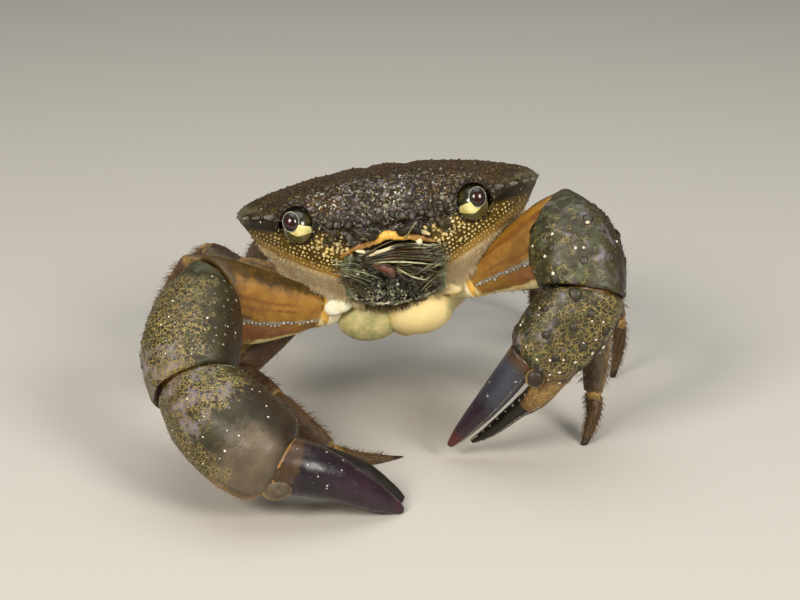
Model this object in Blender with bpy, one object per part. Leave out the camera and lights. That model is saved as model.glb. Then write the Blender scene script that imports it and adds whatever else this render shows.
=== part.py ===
# Warty crab, a still life-size model in a standing pose.
# Lengths are millimetres until the last step, which turns every mesh to metres.
# The crab faces -Y, its left side is +X, and the floor is z = 0.
import math
import random

import bmesh
import bpy
from mathutils import Matrix, Vector
from mathutils.bvhtree import BVHTree

for old_object in list(bpy.data.objects):
    bpy.data.objects.remove(old_object)

# Driving dimensions of the body, in the body's own frame
CARAPACE_WIDTH = 80.0
CARAPACE_FRONT = -29.2
CARAPACE_REAR = 31.6
DOME_HEIGHT = 11.6
BODY_BOTTOM = -33.6
MARGIN_RISE = 3.2
HALF_WIDTH = CARAPACE_WIDTH / 2

# How the body is carried over the floor
BODY_PITCH = math.radians(14.0)
BODY_ROLL = math.radians(8.0)
BODY_HEIGHT = 57.0
STANCE_MIDDLE = Vector((-0.3, -6.7, 0.0))

# Fits
GAP = 0.3
PASSING_GAP = 1.8
FLOOR = 0.0
MM = 0.001
FLAT_ANGLE = math.radians(2.0)
CUTTER_REACH = 300.0

# Eyes, in the body's frame for the left side
ORBIT_CENTRE = Vector((22.5, -26.0, 0.3))
ORBIT_RADIUS = 4.7
CORNEA_CENTRE = Vector((23.3, -28.0, 0.6))
CORNEA_RADII = Vector((2.2, 1.9, 2.5))

# The mouth, a shallow hollow that the outer mouthparts fill
MOUTH_CENTRE = Vector((0.0, -25.4, -15.6))
MOUTH_RADII = Vector((12.6, 5.2, 9.6))
MOUTH_TILT = math.radians(-28.0)

# The ridge over the mouth, highest in the middle
EPISTOME_RIDGE = [Vector((x, y, z)) for x, y, z in (
    (-10.5, -26.3, -8.2), (-5.0, -27.2, -6.8), (0.0, -28.0, -5.2), (5.0, -27.2, -6.8), (10.5, -26.3, -8.2))]
RIDGE_RADII = (0.6, 1.1, 1.4, 1.1, 0.6)

# Feelers for the left side: points of each and its radii
FEELERS = {
    "antenna": (((15.2, -24.0, -4.6), (14.6, -30.6, -5.0), (12.4, -32.4, -2.6), (9.6, -34.2, 1.6)),
                (1.5, 1.5, 0.8, 0.5, 0.35)),
    "antennule": (((3.0, -24.0, -4.6), (3.6, -29.4, -5.4), (6.4, -31.2, -4.2), (9.0, -30.6, -5.2)),
                  (1.1, 1.2, 0.9, 0.55)),
}

# The outer mouthpart of the left side: points, radii and flattening of each piece. Two plates end
# to end, the palp that hooks down over them, and two slim branches over the top of the mouth.
MOUTH_PIECES = (
    (((3.6, -16.6, -23.6), (4.8, -19.6, -19.4), (5.2, -21.8, -15.2)), (2.6, 4.4, 4.9, 4.3), 0.5),
    (((5.3, -22.2, -14.9), (5.9, -23.6, -12.4), (6.2, -24.8, -9.6)), (4.2, 5.0, 4.6, 3.0), 0.5),
    (((3.6, -26.2, -8.8), (1.9, -26.4, -11.6), (2.0, -24.2, -15.4), (2.6, -21.6, -19.0)),
     (1.4, 1.3, 1.1, 0.6), 1.0),
    (((11.4, -22.0, -18.0), (11.2, -24.2, -12.4), (8.6, -26.8, -8.9), (3.6, -28.0, -8.0)),
     (1.2, 1.1, 0.8, 0.5), 0.8),
    (((10.2, -22.6, -15.0), (9.4, -25.4, -11.4), (6.4, -27.0, -10.6), (2.4, -27.6, -10.2)),
     (1.1, 1.0, 0.7, 0.45), 0.8),
)

# The folded tail flap
ABDOMEN_THICK = 2.8
ABDOMEN_SPINE = ((0, 27.6, -8.0), (0, 24.6, -17.5), (0, 18.6, -25.2), (0, 11.4, -30.6), (0, 4.6, -33.8),
                 (0, -1.6, -34.4))
ABDOMEN_HALF_WIDTHS = (11.4, 11.0, 10.0, 8.6, 7.0, 5.0, 2.4)
ABDOMEN_SIDES = 12

# The carapace's lower edge is a shallow V, lowest under the mouth
EDGE_BOTTOM = -25.2
EDGE_SLOPE = 0.5

rng = random.Random(7)

part_collection = bpy.data.collections.new("warty_crab")
bpy.context.scene.collection.children.link(part_collection)
cutter_collection = bpy.data.collections.new("cutters")
bpy.context.scene.collection.children.link(cutter_collection)

body_matrix = (
    Matrix.Translation((0.0, 0.0, BODY_HEIGHT))
    @ Matrix.Rotation(-BODY_ROLL, 4, "Y")
    @ Matrix.Rotation(-BODY_PITCH, 4, "X")
)


def make_finish(name, colour, roughness):
    finish = bpy.data.materials.new(name)
    finish.use_nodes = True
    shader = finish.node_tree.nodes["Principled BSDF"]
    shader.inputs["Base Color"].default_value = (*colour, 1.0)
    shader.inputs["Roughness"].default_value = roughness
    shader.inputs["Metallic"].default_value = 0.0
    return finish


FINISHES = {
    "dorsal_shell": make_finish("dorsal_shell", (0.085, 0.060, 0.022), 0.45),
    "limb_shell": make_finish("limb_shell", (0.105, 0.080, 0.035), 0.42),
    "orange_shell": make_finish("orange_shell", (0.55, 0.25, 0.06), 0.45),
    "pale_shell": make_finish("pale_shell", (0.70, 0.56, 0.30), 0.5),
    "finger_horn": make_finish("finger_horn", (0.030, 0.018, 0.020), 0.25),
    "leg_shell": make_finish("leg_shell", (0.16, 0.085, 0.04), 0.5),
    "mouthparts": make_finish("mouthparts", (0.20, 0.19, 0.10), 0.4),
    "cornea": make_finish("cornea", (0.045, 0.012, 0.008), 0.08),
    "eyestalk": make_finish("eyestalk", (0.22, 0.20, 0.08), 0.35),
    "feeler": make_finish("feeler", (0.42, 0.36, 0.20), 0.45),
}


# Mesh helpers


def new_object(name, mesh, collection):
    made = bpy.data.objects.new(name, mesh)
    collection.objects.link(made)
    return made


def mesh_from_bmesh(name, shape):
    bmesh.ops.recalc_face_normals(shape, faces=shape.faces)
    mesh = bpy.data.meshes.new(name)
    shape.to_mesh(mesh)
    shape.free()
    return mesh


def loft(name, rings, collection, start_apex=None, end_apex=None):
    # A skin over rings of the same number of points, closed by fans or flat caps.
    shape = bmesh.new()
    rows = [[shape.verts.new(point) for point in ring] for ring in rings]
    count = len(rows[0])
    for near, far in zip(rows, rows[1:]):
        for i in range(count):
            j = (i + 1) % count
            shape.faces.new((near[i], near[j], far[j], far[i]))
    for row, apex in ((rows[0], start_apex), (rows[-1], end_apex)):
        if apex is None:
            shape.faces.new(row)
            continue
        tip = shape.verts.new(apex)
        for i in range(count):
            shape.faces.new((row[i], row[(i + 1) % count], tip))
    bmesh.ops.triangulate(shape, faces=[face for face in shape.faces if len(face.verts) > 4])
    return new_object(name, mesh_from_bmesh(name, shape), collection)


def ellipsoid(name, centre, radii, collection, turn=None, segments=12, rows=8):
    shape = bmesh.new()
    bmesh.ops.create_uvsphere(shape, u_segments=segments, v_segments=rows, radius=1.0)
    place = Matrix.Translation(centre) @ (turn or Matrix.Identity(4)) @ Matrix.Diagonal((*radii, 1.0))
    bmesh.ops.transform(shape, matrix=place, verts=shape.verts)
    return new_object(name, mesh_from_bmesh(name, shape), collection)


def evaluated_mesh(item):
    graph = bpy.context.evaluated_depsgraph_get()
    graph.update()
    return bpy.data.meshes.new_from_object(item.evaluated_get(graph))


def apply_modifiers(item):
    finished = evaluated_mesh(item)
    item.modifiers.clear()
    item.data = finished


def keep_largest_body(item):
    # Fusing can leave a sealed hollow or a loose scrap, so only the biggest surface stays.
    shape = bmesh.new()
    shape.from_mesh(item.data)
    bmesh.ops.remove_doubles(shape, verts=shape.verts, dist=0.0005)
    bmesh.ops.dissolve_degenerate(shape, edges=shape.edges, dist=0.0005)
    left = set(shape.faces)
    groups = []
    while left:
        seed = left.pop()
        group, border = {seed}, [seed]
        while border:
            for edge in border.pop().edges:
                if len(edge.link_faces) != 2:
                    continue
                for face in edge.link_faces:
                    if face not in group:
                        group.add(face)
                        border.append(face)
        left -= group
        groups.append(group)
    groups.sort(key=lambda group: sum(face.calc_area() for face in group))
    loose = [face for group in groups[:-1] for face in group]
    bmesh.ops.delete(shape, geom=loose, context="FACES")
    shape.to_mesh(item.data)
    shape.free()


def combine(item, others, operation, solver="MANIFOLD"):
    # One Boolean against a collection of closed pieces, applied, with the pieces removed.
    # The exact solver loses some of the slim pieces that end on the body, so this one is used.
    holder = bpy.data.collections.new("operands")
    bpy.context.scene.collection.children.link(holder)
    for other in others:
        for owner in list(other.users_collection):
            owner.objects.unlink(other)
        holder.objects.link(other)
    step = item.modifiers.new("combine", "BOOLEAN")
    step.operation = operation
    step.operand_type = "COLLECTION"
    step.collection = holder
    step.solver = solver
    apply_modifiers(item)
    for other in others:
        bpy.data.objects.remove(other)
    bpy.data.collections.remove(holder)
    keep_largest_body(item)


def cut_plane(item, point, outward):
    # Takes away what lies past the plane, which leaves a flat.
    half = CUTTER_REACH / 2
    shape = bmesh.new()
    bmesh.ops.create_cube(shape, size=CUTTER_REACH)
    turn = outward.to_track_quat("Z", "Y").to_matrix().to_4x4()
    place = Matrix.Translation(point) @ turn @ Matrix.Translation((0, 0, half))
    bmesh.ops.transform(shape, matrix=place, verts=shape.verts)
    combine(item, [new_object("slab", mesh_from_bmesh("slab", shape), cutter_collection)], "DIFFERENCE")


def surface_tree(item):
    shape = bmesh.new()
    shape.from_mesh(item.data)
    tree = BVHTree.FromBMesh(shape)
    shape.free()
    return tree


def wart(centre, normal, radius, height, sides=5, blunt=True):
    # A cone, blunt or sharp, whose root is sunk well into the shell.
    shape = bmesh.new()
    turn = normal.to_track_quat("Z", "Y").to_matrix().to_4x4()
    spin = Matrix.Rotation(rng.uniform(0, math.tau), 4, "Z")
    profile = ((1.0, -0.6 * radius), (0.66, 0.6 * height)) if blunt else ((1.15, -0.5 * radius),)
    rows = []
    for scale, level in profile:
        row = []
        for i in range(sides):
            angle = math.tau * i / sides
            local = Vector((math.cos(angle) * radius * scale, math.sin(angle) * radius * scale, level))
            row.append(shape.verts.new(centre + (turn @ spin @ local)))
        rows.append(row)
    tip = shape.verts.new(centre + normal * height)
    for near, far in zip(rows, rows[1:]):
        for i in range(sides):
            shape.faces.new((near[i], near[(i + 1) % sides], far[(i + 1) % sides], far[i]))
    for i in range(sides):
        shape.faces.new((rows[-1][i], rows[-1][(i + 1) % sides], tip))
    shape.faces.new(rows[0])
    return new_object("wart", mesh_from_bmesh("wart", shape), cutter_collection)


def place_in_body(item):
    item.data.transform(body_matrix)
    item.data.update()


def join_flat_faces(item):
    # Fusing splits flat faces into slivers, which are joined again here.
    shape = bmesh.new()
    shape.from_mesh(item.data)
    bmesh.ops.dissolve_limit(
        shape, angle_limit=FLAT_ANGLE, verts=shape.verts, edges=shape.edges, use_dissolve_boundaries=False
    )
    bmesh.ops.triangulate(shape, faces=shape.faces, ngon_method="BEAUTY")
    if all(len(edge.link_faces) == 2 for edge in shape.edges):
        shape.to_mesh(item.data)
    shape.free()


def finish_node(item, name, finish):
    join_flat_faces(item)
    item.name = name
    item.data.name = name
    item.data.materials.clear()
    item.data.materials.append(FINISHES[finish])
    for owner in list(item.users_collection):
        owner.objects.unlink(item)
    part_collection.objects.link(item)


# The body's plain form

# Half of the outline from the front's middle to the rear's middle: across as a share of the
# half width, along as -1 at the front and +1 at the rear.
HALF_OUTLINE = [
    (0.0, -0.985), (0.20, -1.0), (0.38, -0.985), (0.56, -0.94), (0.725, -0.84), (0.875, -0.62),
    (0.972, -0.36), (1.0, -0.12), (0.965, 0.16), (0.85, 0.46), (0.675, 0.74), (0.46, 0.93),
    (0.22, 1.0), (0.0, 1.01),
]

# Levels from the dome down to the breast: height, half width, front, rear, share of the rise
# that the side margins have over the middle.
BODY_LEVELS = [
    (11.2, 0.24 * HALF_WIDTH, -10.0, 12.0, 0.0),
    (10.2, 0.48 * HALF_WIDTH, -18.0, 20.0, 0.0),
    (8.4, 0.69 * HALF_WIDTH, -23.4, 26.2, 0.1),
    (5.7, 0.86 * HALF_WIDTH, -26.8, 29.6, 0.4),
    (2.8, 0.96 * HALF_WIDTH, -28.6, 31.3, 0.8),
    (0.5, HALF_WIDTH, CARAPACE_FRONT, CARAPACE_REAR, 1.0),
    (-1.5, 0.995 * HALF_WIDTH, CARAPACE_FRONT, 31.2, 1.0),
    (-3.6, 0.965 * HALF_WIDTH, -27.4, 30.2, 1.0),
    (-8.0, 0.885 * HALF_WIDTH, -26.4, 28.6, 0.8),
    (-13.5, 0.765 * HALF_WIDTH, -23.6, 26.4, 0.6),
    (-19.0, 0.64 * HALF_WIDTH, -20.2, 23.0, 0.4),
    (-24.5, 0.51 * HALF_WIDTH, -15.8, 18.0, 0.2),
    (-29.5, 0.35 * HALF_WIDTH, -9.8, 11.0, 0.0),
    (-32.4, 0.17 * HALF_WIDTH, -4.8, 4.6, 0.0),
]

# The two pale swollen halves of the front breast plate
BREAST_LOBES = (
    (Vector((4.4, -12.4, -26.8)), Vector((9.6, 7.2, 6.4))),
    (Vector((-9.2, -10.4, -27.4)), Vector((8.4, 7.0, 6.2))),
)


def rounded_outline(points, steps=2):
    # A smooth closed run through mirrored half points.
    loop = points + [(-x, y) for x, y in reversed(points[1:-1])]
    count = len(loop)
    smooth = []
    for i in range(count):
        p0, p1, p2, p3 = (Vector(loop[(i + k) % count]) for k in (-1, 0, 1, 2))
        for k in range(steps):
            t = k / steps
            smooth.append(
                0.5 * (2 * p1 + (p2 - p0) * t + (2 * p0 - 5 * p1 + 4 * p2 - p3) * t * t
                       + (3 * p1 - p0 - 3 * p2 + p3) * t ** 3)
            )
    return smooth


def orbit_hollow(side, grow):
    centre = Vector((side * ORBIT_CENTRE.x, ORBIT_CENTRE.y, ORBIT_CENTRE.z))
    radius = ORBIT_RADIUS - grow
    return ellipsoid("orbit", centre, (radius, radius, radius), cutter_collection, None, 16, 10)


def body_form(name, grow=0.0):
    outline = rounded_outline(HALF_OUTLINE)
    rings = []
    for height, half_width, front, rear, rise in BODY_LEVELS:
        middle, half_length = (front + rear) / 2, (rear - front) / 2
        ring = []
        for across, along in outline:
            lift = rise * MARGIN_RISE * across * across
            ring.append(Vector((half_width * across, middle + half_length * along, height + lift)))
        rings.append(ring)
    form = loft(name, rings, cutter_collection, Vector((0, 1, DOME_HEIGHT)), Vector((0, 0, BODY_BOTTOM)))
    if grow:
        for vert in form.data.vertices:
            vert.co += vert.normal * grow
    lobes = [
        ellipsoid("lobe", centre, radii + Vector((grow, grow, grow)), cutter_collection, None, 18, 12)
        for centre, radii in BREAST_LOBES
    ]
    combine(form, lobes, "UNION")
    shrink = Vector((grow, grow, grow))
    hollows = [
        ellipsoid("mouth_hollow", MOUTH_CENTRE, MOUTH_RADII - shrink, cutter_collection,
                  Matrix.Rotation(MOUTH_TILT, 4, "X"), 24, 12)
    ]
    hollows += [orbit_hollow(side, grow) for side in (-1, 1)]
    combine(form, hollows, "DIFFERENCE")
    ridge = tapered_tube("ridge", EPISTOME_RIDGE, [radius + grow for radius in RIDGE_RADII], 6, 2)
    combine(form, [ridge], "UNION")
    return form


def trim_to_body(item, in_world=True, gap=GAP):
    # Ends a piece on the body's surface, with the gap that touching shells keep.
    trim = body_form("trim", gap)
    if in_world:
        place_in_body(trim)
    combine(item, [trim], "DIFFERENCE")


def edge_wedge(lower):
    # Everything above the carapace's lower edge, as a tall wedge that runs front to rear.
    reach, top = 60.0, 60.0
    base = EDGE_BOTTOM - lower
    corner = base + EDGE_SLOPE * reach
    section = [(0.0, base), (reach, corner), (reach, top), (-reach, top), (-reach, corner)]
    rings = [[Vector((x, y, z)) for x, z in section] for y in (-reach, reach)]
    return loft("wedge", rings, cutter_collection)


# Rows of warts

# Cross rows behind the front: how far back, half reach and count, finer to the rear
CROSS_ROWS = ((-24.5, 15.0, 8), (-20.5, 30.0, 13), (-15.5, 34.0, 13), (-10.0, 35.0, 10))
CROSS_BOW = 2.5
FRONT_TEETH = {"count": 5, "first": 2.2, "step": 3.1, "level": -0.6, "radius": 1.25, "height": 1.9}
SIDE_SPINES = ((28.6, -24.6), (32.4, -20.6), (35.6, -16.0), (37.8, -11.4), (39.2, -6.8), (39.8, -2.0),
               (39.4, 3.0))
SPINE_ROOT = 1.2
ORBIT_BEADS = {"count": 12, "out": 0.55, "radius": 0.85, "height": 1.0}
CHEEK_ROWS = {"rows": 4, "first": 17.5, "step": 3.3, "shift": 0.9, "top": -6.6, "drop": 3.4, "climb": 0.42}
CHEEK_GRAIN = (0.85, 0.9)


def warts_from(tree, starts, direction, radius, height, sides=5, blunt=True):
    # Warts where straight lines meet the shell, each varied a little in size.
    made = []
    for start in starts:
        hit, normal, _, _ = tree.ray_cast(Vector(start), direction)
        if hit is None:
            continue
        size = rng.uniform(0.82, 1.18)
        made.append(wart(hit, normal, radius * size, height * size, sides, blunt))
    return made


def carapace_warts(tree):
    made = []
    down, back = Vector((0, 0, -1)), Vector((0, 1, 0))
    for row, (y, reach, count) in enumerate(CROSS_ROWS):
        starts = []
        for i in range(count):
            x = -reach + 2 * reach * i / (count - 1) + rng.uniform(-0.8, 0.8)
            starts.append((x, y + CROSS_BOW * (x / reach) ** 2 + rng.uniform(-0.6, 0.6), 40))
        made += warts_from(tree, starts, down, 1.05 - 0.08 * row, 1.25 - 0.15 * row)
    for side in (-1, 1):
        teeth, beads, cheek = FRONT_TEETH, ORBIT_BEADS, CHEEK_ROWS
        for i in range(teeth["count"]):
            start = (side * (teeth["first"] + teeth["step"] * i), -60, teeth["level"])
            made += warts_from(tree, [start], back, teeth["radius"], teeth["height"])
        # Spines of the margin, smaller to the rear.
        for i, (x, y) in enumerate(SIDE_SPINES):
            outward = Vector((x, 0.9 * y - 6, 0)).normalized()
            root_x, root_y = x - SPINE_ROOT * outward.x, y - SPINE_ROOT * outward.y
            centre = Vector((side * root_x, root_y, MARGIN_RISE * 0.8))
            aim = Vector((side * outward.x, outward.y, 0.15)).normalized()
            made.append(wart(centre, aim, 1.9 - 0.13 * i, 4.3 - 0.42 * i, 6))
        for i in range(beads["count"]):
            angle = math.tau * (i + 0.5) / beads["count"]
            ring = ORBIT_RADIUS + beads["out"]
            start = (side * (ORBIT_CENTRE.x + ring * math.cos(angle)), -60,
                     ORBIT_CENTRE.z + ring * math.sin(angle))
            made += warts_from(tree, [start], back, beads["radius"], beads["height"], 4, False)
        # Slanting rows of granules over the cheek.
        for row in range(cheek["rows"]):
            for i in range(6 - row):
                x = cheek["first"] + cheek["step"] * i + cheek["shift"] * row
                z = cheek["top"] - cheek["drop"] * row + cheek["climb"] * i
                made += warts_from(tree, [(side * x, -60, z)], back, *CHEEK_GRAIN, 4, False)
    return made


def build_body():
    form = body_form("form")
    carapace = new_object("carapace", form.data.copy(), cutter_collection)
    sternum = form
    combine(carapace, [edge_wedge(0.0)], "INTERSECT")
    combine(sternum, [edge_wedge(GAP)], "DIFFERENCE")
    combine(carapace, carapace_warts(surface_tree(carapace)), "UNION")
    combine(carapace, [orbit_hollow(side, 0.0) for side in (-1, 1)], "DIFFERENCE")
    for item, name, finish in ((carapace, "carapace", "dorsal_shell"), (sternum, "sternum", "pale_shell")):
        place_in_body(item)
        finish_node(item, name, finish)


# Eyes, feelers and mouthparts, in the body's frame


def mirrored(side, point):
    return Vector((side * point[0], point[1], point[2]))


def build_eye(side, tag):
    centre, cornea = mirrored(side, ORBIT_CENTRE), mirrored(side, CORNEA_CENTRE)
    stalk_radius = ORBIT_RADIUS - GAP
    stalk = ellipsoid("stalk", centre, (stalk_radius,) * 3, cutter_collection)
    # The stalk fills the inner and rear of the orbit and stays open to the outer front.
    keep = ellipsoid("stalk_form", centre + Vector((-side * 1.2, 0.9, -0.1)), (4.1, 4.2, 3.6),
                     cutter_collection)
    combine(stalk, [keep], "INTERSECT")
    socket = ellipsoid("socket", cornea, CORNEA_RADII + Vector((GAP, GAP, GAP)), cutter_collection)
    combine(stalk, [socket], "DIFFERENCE")
    eye = ellipsoid("eye", cornea, CORNEA_RADII, cutter_collection)
    for item, name, finish in ((stalk, f"eyestalk_{tag}", "eyestalk"), (eye, f"eye_{tag}", "cornea")):
        place_in_body(item)
        finish_node(item, name, finish)


def smooth_path(points, steps):
    run = [points[0]] + list(points) + [points[-1]]
    path = []
    for i in range(1, len(run) - 2):
        p0, p1, p2, p3 = (Vector(run[i + k]) for k in (-1, 0, 1, 2))
        for k in range(steps):
            t = k / steps
            path.append(
                0.5 * (2 * p1 + (p2 - p0) * t + (2 * p0 - 5 * p1 + 4 * p2 - p3) * t * t
                       + (3 * p1 - p0 - 3 * p2 + p3) * t ** 3)
            )
    path.append(Vector(points[-1]))
    return path


def tapered_tube(name, points, radii, sides=8, steps=3, flatten=1.0, up=Vector((0, 0, 1))):
    # A tube along a smooth run, its radius read between the given values.
    path = smooth_path(points, steps)
    rings = []
    for i, point in enumerate(path):
        ahead = (path[min(i + 1, len(path) - 1)] - path[max(i - 1, 0)]).normalized()
        across = ahead.cross(up).normalized()
        over = across.cross(ahead).normalized()
        place = i / (len(path) - 1) * (len(radii) - 1)
        low = min(int(place), len(radii) - 2)
        radius = radii[low] + (radii[low + 1] - radii[low]) * (place - low)
        rings.append([
            point + across * radius * math.cos(math.tau * k / sides)
            + over * radius * flatten * math.sin(math.tau * k / sides)
            for k in range(sides)
        ])
    return loft(name, rings, cutter_collection)


def build_feelers(side, tag):
    for name, (points, radii) in FEELERS.items():
        feeler = tapered_tube(name, [mirrored(side, point) for point in points], radii, 7, 4)
        trim_to_body(feeler, in_world=False)
        place_in_body(feeler)
        finish_node(feeler, f"{name}_{tag}", "feeler")


def build_maxilliped(side, tag):
    face = (Matrix.Rotation(MOUTH_TILT, 4, "X") @ Vector((0, -1, 0))).normalized()
    pieces = [
        tapered_tube("piece", [mirrored(side, point) for point in points], radii, 7, 2, flatten, face)
        for points, radii, flatten in MOUTH_PIECES
    ]
    maxilliped = pieces.pop(0)
    combine(maxilliped, pieces, "UNION")
    trim_to_body(maxilliped, in_world=False)
    cut_plane(maxilliped, Vector((side * GAP / 2, 0, 0)), Vector((-side, 0, 0)))
    keep_largest_body(maxilliped)
    place_in_body(maxilliped)
    finish_node(maxilliped, f"maxilliped_{tag}", "mouthparts")


def build_abdomen():
    # The narrow tail flap, folded forward under the breast, thinner where its segments meet.
    path = smooth_path([Vector(point) for point in ABDOMEN_SPINE], 3)
    rings = []
    for i, point in enumerate(path):
        ahead = (path[min(i + 1, len(path) - 1)] - path[max(i - 1, 0)]).normalized()
        outward = Vector((1, 0, 0)).cross(ahead).normalized()
        if outward.z > 0:
            outward.negate()
        place = i / (len(path) - 1) * (len(ABDOMEN_HALF_WIDTHS) - 1)
        low = min(int(place), len(ABDOMEN_HALF_WIDTHS) - 2)
        near, far = ABDOMEN_HALF_WIDTHS[low], ABDOMEN_HALF_WIDTHS[low + 1]
        half = near + (far - near) * (place - low)
        thick = ABDOMEN_THICK * (0.8 if i % 3 == 0 else 1.0)
        rings.append([
            point + Vector((half * math.cos(math.tau * k / ABDOMEN_SIDES), 0, 0))
            + outward * (thick * math.sin(math.tau * k / ABDOMEN_SIDES))
            for k in range(ABDOMEN_SIDES)
        ])
    abdomen = loft("abdomen", rings, cutter_collection)
    trim_to_body(abdomen, in_world=False)
    place_in_body(abdomen)
    finish_node(abdomen, "abdomen", "pale_shell")


# Limbs, in the world's frame


def section(centre, along, up, half_wide, half_tall, sides, power):
    across = along.cross(up).normalized()
    over = across.cross(along).normalized()
    ring = []
    for i in range(sides):
        angle = math.tau * i / sides
        c, s = math.cos(angle), math.sin(angle)
        x = math.copysign(abs(c) ** (2 / power), c) * half_wide
        z = math.copysign(abs(s) ** (2 / power), s) * half_tall
        ring.append(centre + across * x + over * z)
    return ring


def segment(name, start, end, up, stations, sides=10, power=2.3):
    # A shell segment between two joints. Each station is: share of the length, half width,
    # half height, shift across and shift up.
    along = (end - start).normalized()
    across = along.cross(up).normalized()
    over = across.cross(along).normalized()
    length = (end - start).length
    rings = []
    for share, wide, tall, aside, lift in stations:
        centre = start + along * (share * length) + across * aside + over * lift
        rings.append(section(centre, along, up, wide, tall, sides, power))
    return loft(name, rings, cutter_collection)


def joint_plane(before, joint, after):
    return ((joint - before).normalized() + (after - joint).normalized()).normalized()


def cut_joint(item, joint, normal, keep_before):
    # Half of the gap on each side of the joint's plane.
    sign = 1 if keep_before else -1
    cut_plane(item, joint - normal * sign * GAP / 2, normal * sign)


def warts_round(item, start, end, up, shares, angles, radius, height):
    # Rows of warts round a limb, found by lines from its middle.
    tree = surface_tree(item)
    along = (end - start).normalized()
    across = along.cross(up).normalized()
    over = across.cross(along).normalized()
    made = []
    for share in shares:
        for angle in angles:
            turn = math.radians(angle + rng.uniform(-5, 5))
            out = across * math.cos(turn) + over * math.sin(turn)
            start_point = start + (end - start) * (share + rng.uniform(-0.025, 0.025))
            hit, normal, _, _ = tree.ray_cast(start_point, out)
            if hit is not None:
                size = rng.uniform(0.8, 1.2)
                made.append(wart(hit, normal, radius * size, height * size))
    return made


# The two claws, from the breast out: joints, then the stations of each segment
MAJOR_JOINTS = {
    "root": body_matrix @ Vector((-9.0, -6.0, -20.0)),
    "hip": Vector((-17.6, -17.5, 34.6)),
    "elbow": Vector((-44.8, -27.0, 44.0)),
    "wrist": Vector((-48.0, -54.0, 28.0)),
    "knuckle": Vector((-25.2, -69.0, 14.0)),
    "tip": Vector((3.4, -65.5, 1.2)),
}
MAJOR_STATIONS = {
    "coxa": [(0.0, 4.6, 4.6, 0, 0), (0.55, 4.8, 4.9, 0, 0), (0.85, 4.9, 4.9, 0, 0), (1.3, 4.4, 4.4, 0, 0)],
    "merus": [(-0.2, 3.6, 4.0, 0, 0), (0.05, 4.2, 5.2, 0, -0.4), (0.22, 4.8, 7.0, 0, -1.6),
              (0.56, 5.8, 10.0, 0, -3.0), (0.85, 6.6, 10.6, 0, -2.6), (1.02, 6.6, 10.2, 0, -2.0),
              (1.3, 5.2, 8.0, 0, -1.6)],
    "carpus": [(-0.25, 4.6, 5.0, 1.0, 0), (0.0, 7.8, 7.8, 1.6, -0.4), (0.22, 10.6, 10.2, 2.2, 0),
               (0.5, 12.0, 11.6, 2.2, 0.4), (0.78, 11.8, 11.4, 2.0, 0.4), (1.0, 10.2, 9.8, 1.2, 0),
               (1.2, 7.8, 7.6, 0, 0)],
    "palm": [(-0.25, 6.0, 6.0, 0, 0), (0.0, 9.2, 9.4, 0.4, 0), (0.2, 11.4, 11.2, 1.2, 0),
             (0.5, 12.6, 11.9, 1.8, 0), (0.78, 12.2, 11.4, 1.6, 0), (0.92, 11.2, 10.5, 1.2, 0),
             (1.02, 9.4, 8.8, 0.9, 0), (1.15, 7.2, 6.8, 0.6, 0)],
}
# The fixed finger lies behind the movable one; both tips rest on the floor.
MAJOR_FIXED = (((-31.0, -63.5, 15.5), (-14.5, -62.2, 10.6), (-5.0, -60.8, 7.0), (3.6, -60.0, 0.4)),
               (6.4, 5.0, 4.0, 2.7, 1.1))
MAJOR_MOVING = (((-31.0, -70.2, 16.4), (-16.4, -69.6, 12.7), (-6.0, -68.0, 6.8), (3.4, -65.5, 0.4)),
                (7.0, 6.6, 5.0, 3.6, 1.1))
MAJOR_BEADS = {"shares": (0.2, 0.36, 0.52, 0.68, 0.82), "angles": (-30,), "size": (0.9, 1.0)}
MAJOR_WARTS = {"shares": (0.3, 0.5, 0.7), "angles": (-20, 10, 40, 70, 100, 130), "size": (1.0, 0.8)}

MINOR_JOINTS = {
    "root": body_matrix @ Vector((9.0, -6.0, -19.5)),
    "hip": Vector((22.4, -17.5, 42.2)),
    "elbow": Vector((42.8, -23.0, 60.6)),
    "wrist": Vector((50.4, -40.0, 47.2)),
    "knuckle": Vector((36.6, -42.0, 29.2)),
    "tip": Vector((16.6, -36.5, 5.2)),
}
MINOR_UP = Vector((0, -1, 0.2)).normalized()
MINOR_STATIONS = {
    "coxa": [(0.0, 4.4, 4.4, 0, 0), (0.55, 4.5, 4.6, 0, 0), (0.85, 4.5, 4.6, 0, 0), (1.3, 4.2, 4.2, 0, 0)],
    "merus": [(-0.2, 3.6, 3.8, 0, 0), (0.05, 4.2, 4.7, 0, -0.3), (0.3, 4.9, 7.0, 0, -1.6),
              (0.6, 5.6, 9.6, 0, -3.2), (0.85, 6.2, 10.4, 0, -3.6), (1.02, 6.2, 10.0, 0, -3.4),
              (1.3, 5.0, 8.0, 0, -3.0)],
    "carpus": [(-0.3, 5.0, 5.0, 0, 0), (0.0, 8.8, 8.4, -0.4, 0.4), (0.25, 11.0, 10.2, -0.8, 0.8),
               (0.5, 11.6, 10.8, -0.6, 0.8), (0.78, 11.2, 10.2, 0, 0.4), (1.0, 9.4, 9.0, 0.2, 0),
               (1.22, 7.0, 6.8, 0, 0)],
    "palm": [(-0.3, 5.4, 5.0, 0, 0), (0.0, 8.8, 7.4, 0, 0), (0.3, 10.4, 8.4, 0, 0), (0.6, 10.2, 8.4, 0, 0),
             (0.9, 8.9, 7.6, 0, 0), (1.05, 8.2, 7.0, 0, 0), (1.2, 7.4, 6.0, 0, 0)],
}
MINOR_FIXED = (((43.5, -42.0, 30.0), (38.1, -41.5, 20.9), (32.4, -40.0, 15.5), (26.1, -38.0, 8.8),
                (21.3, -36.5, 5.1)), (4.6, 3.4, 2.4, 1.7, 0.8))
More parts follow.
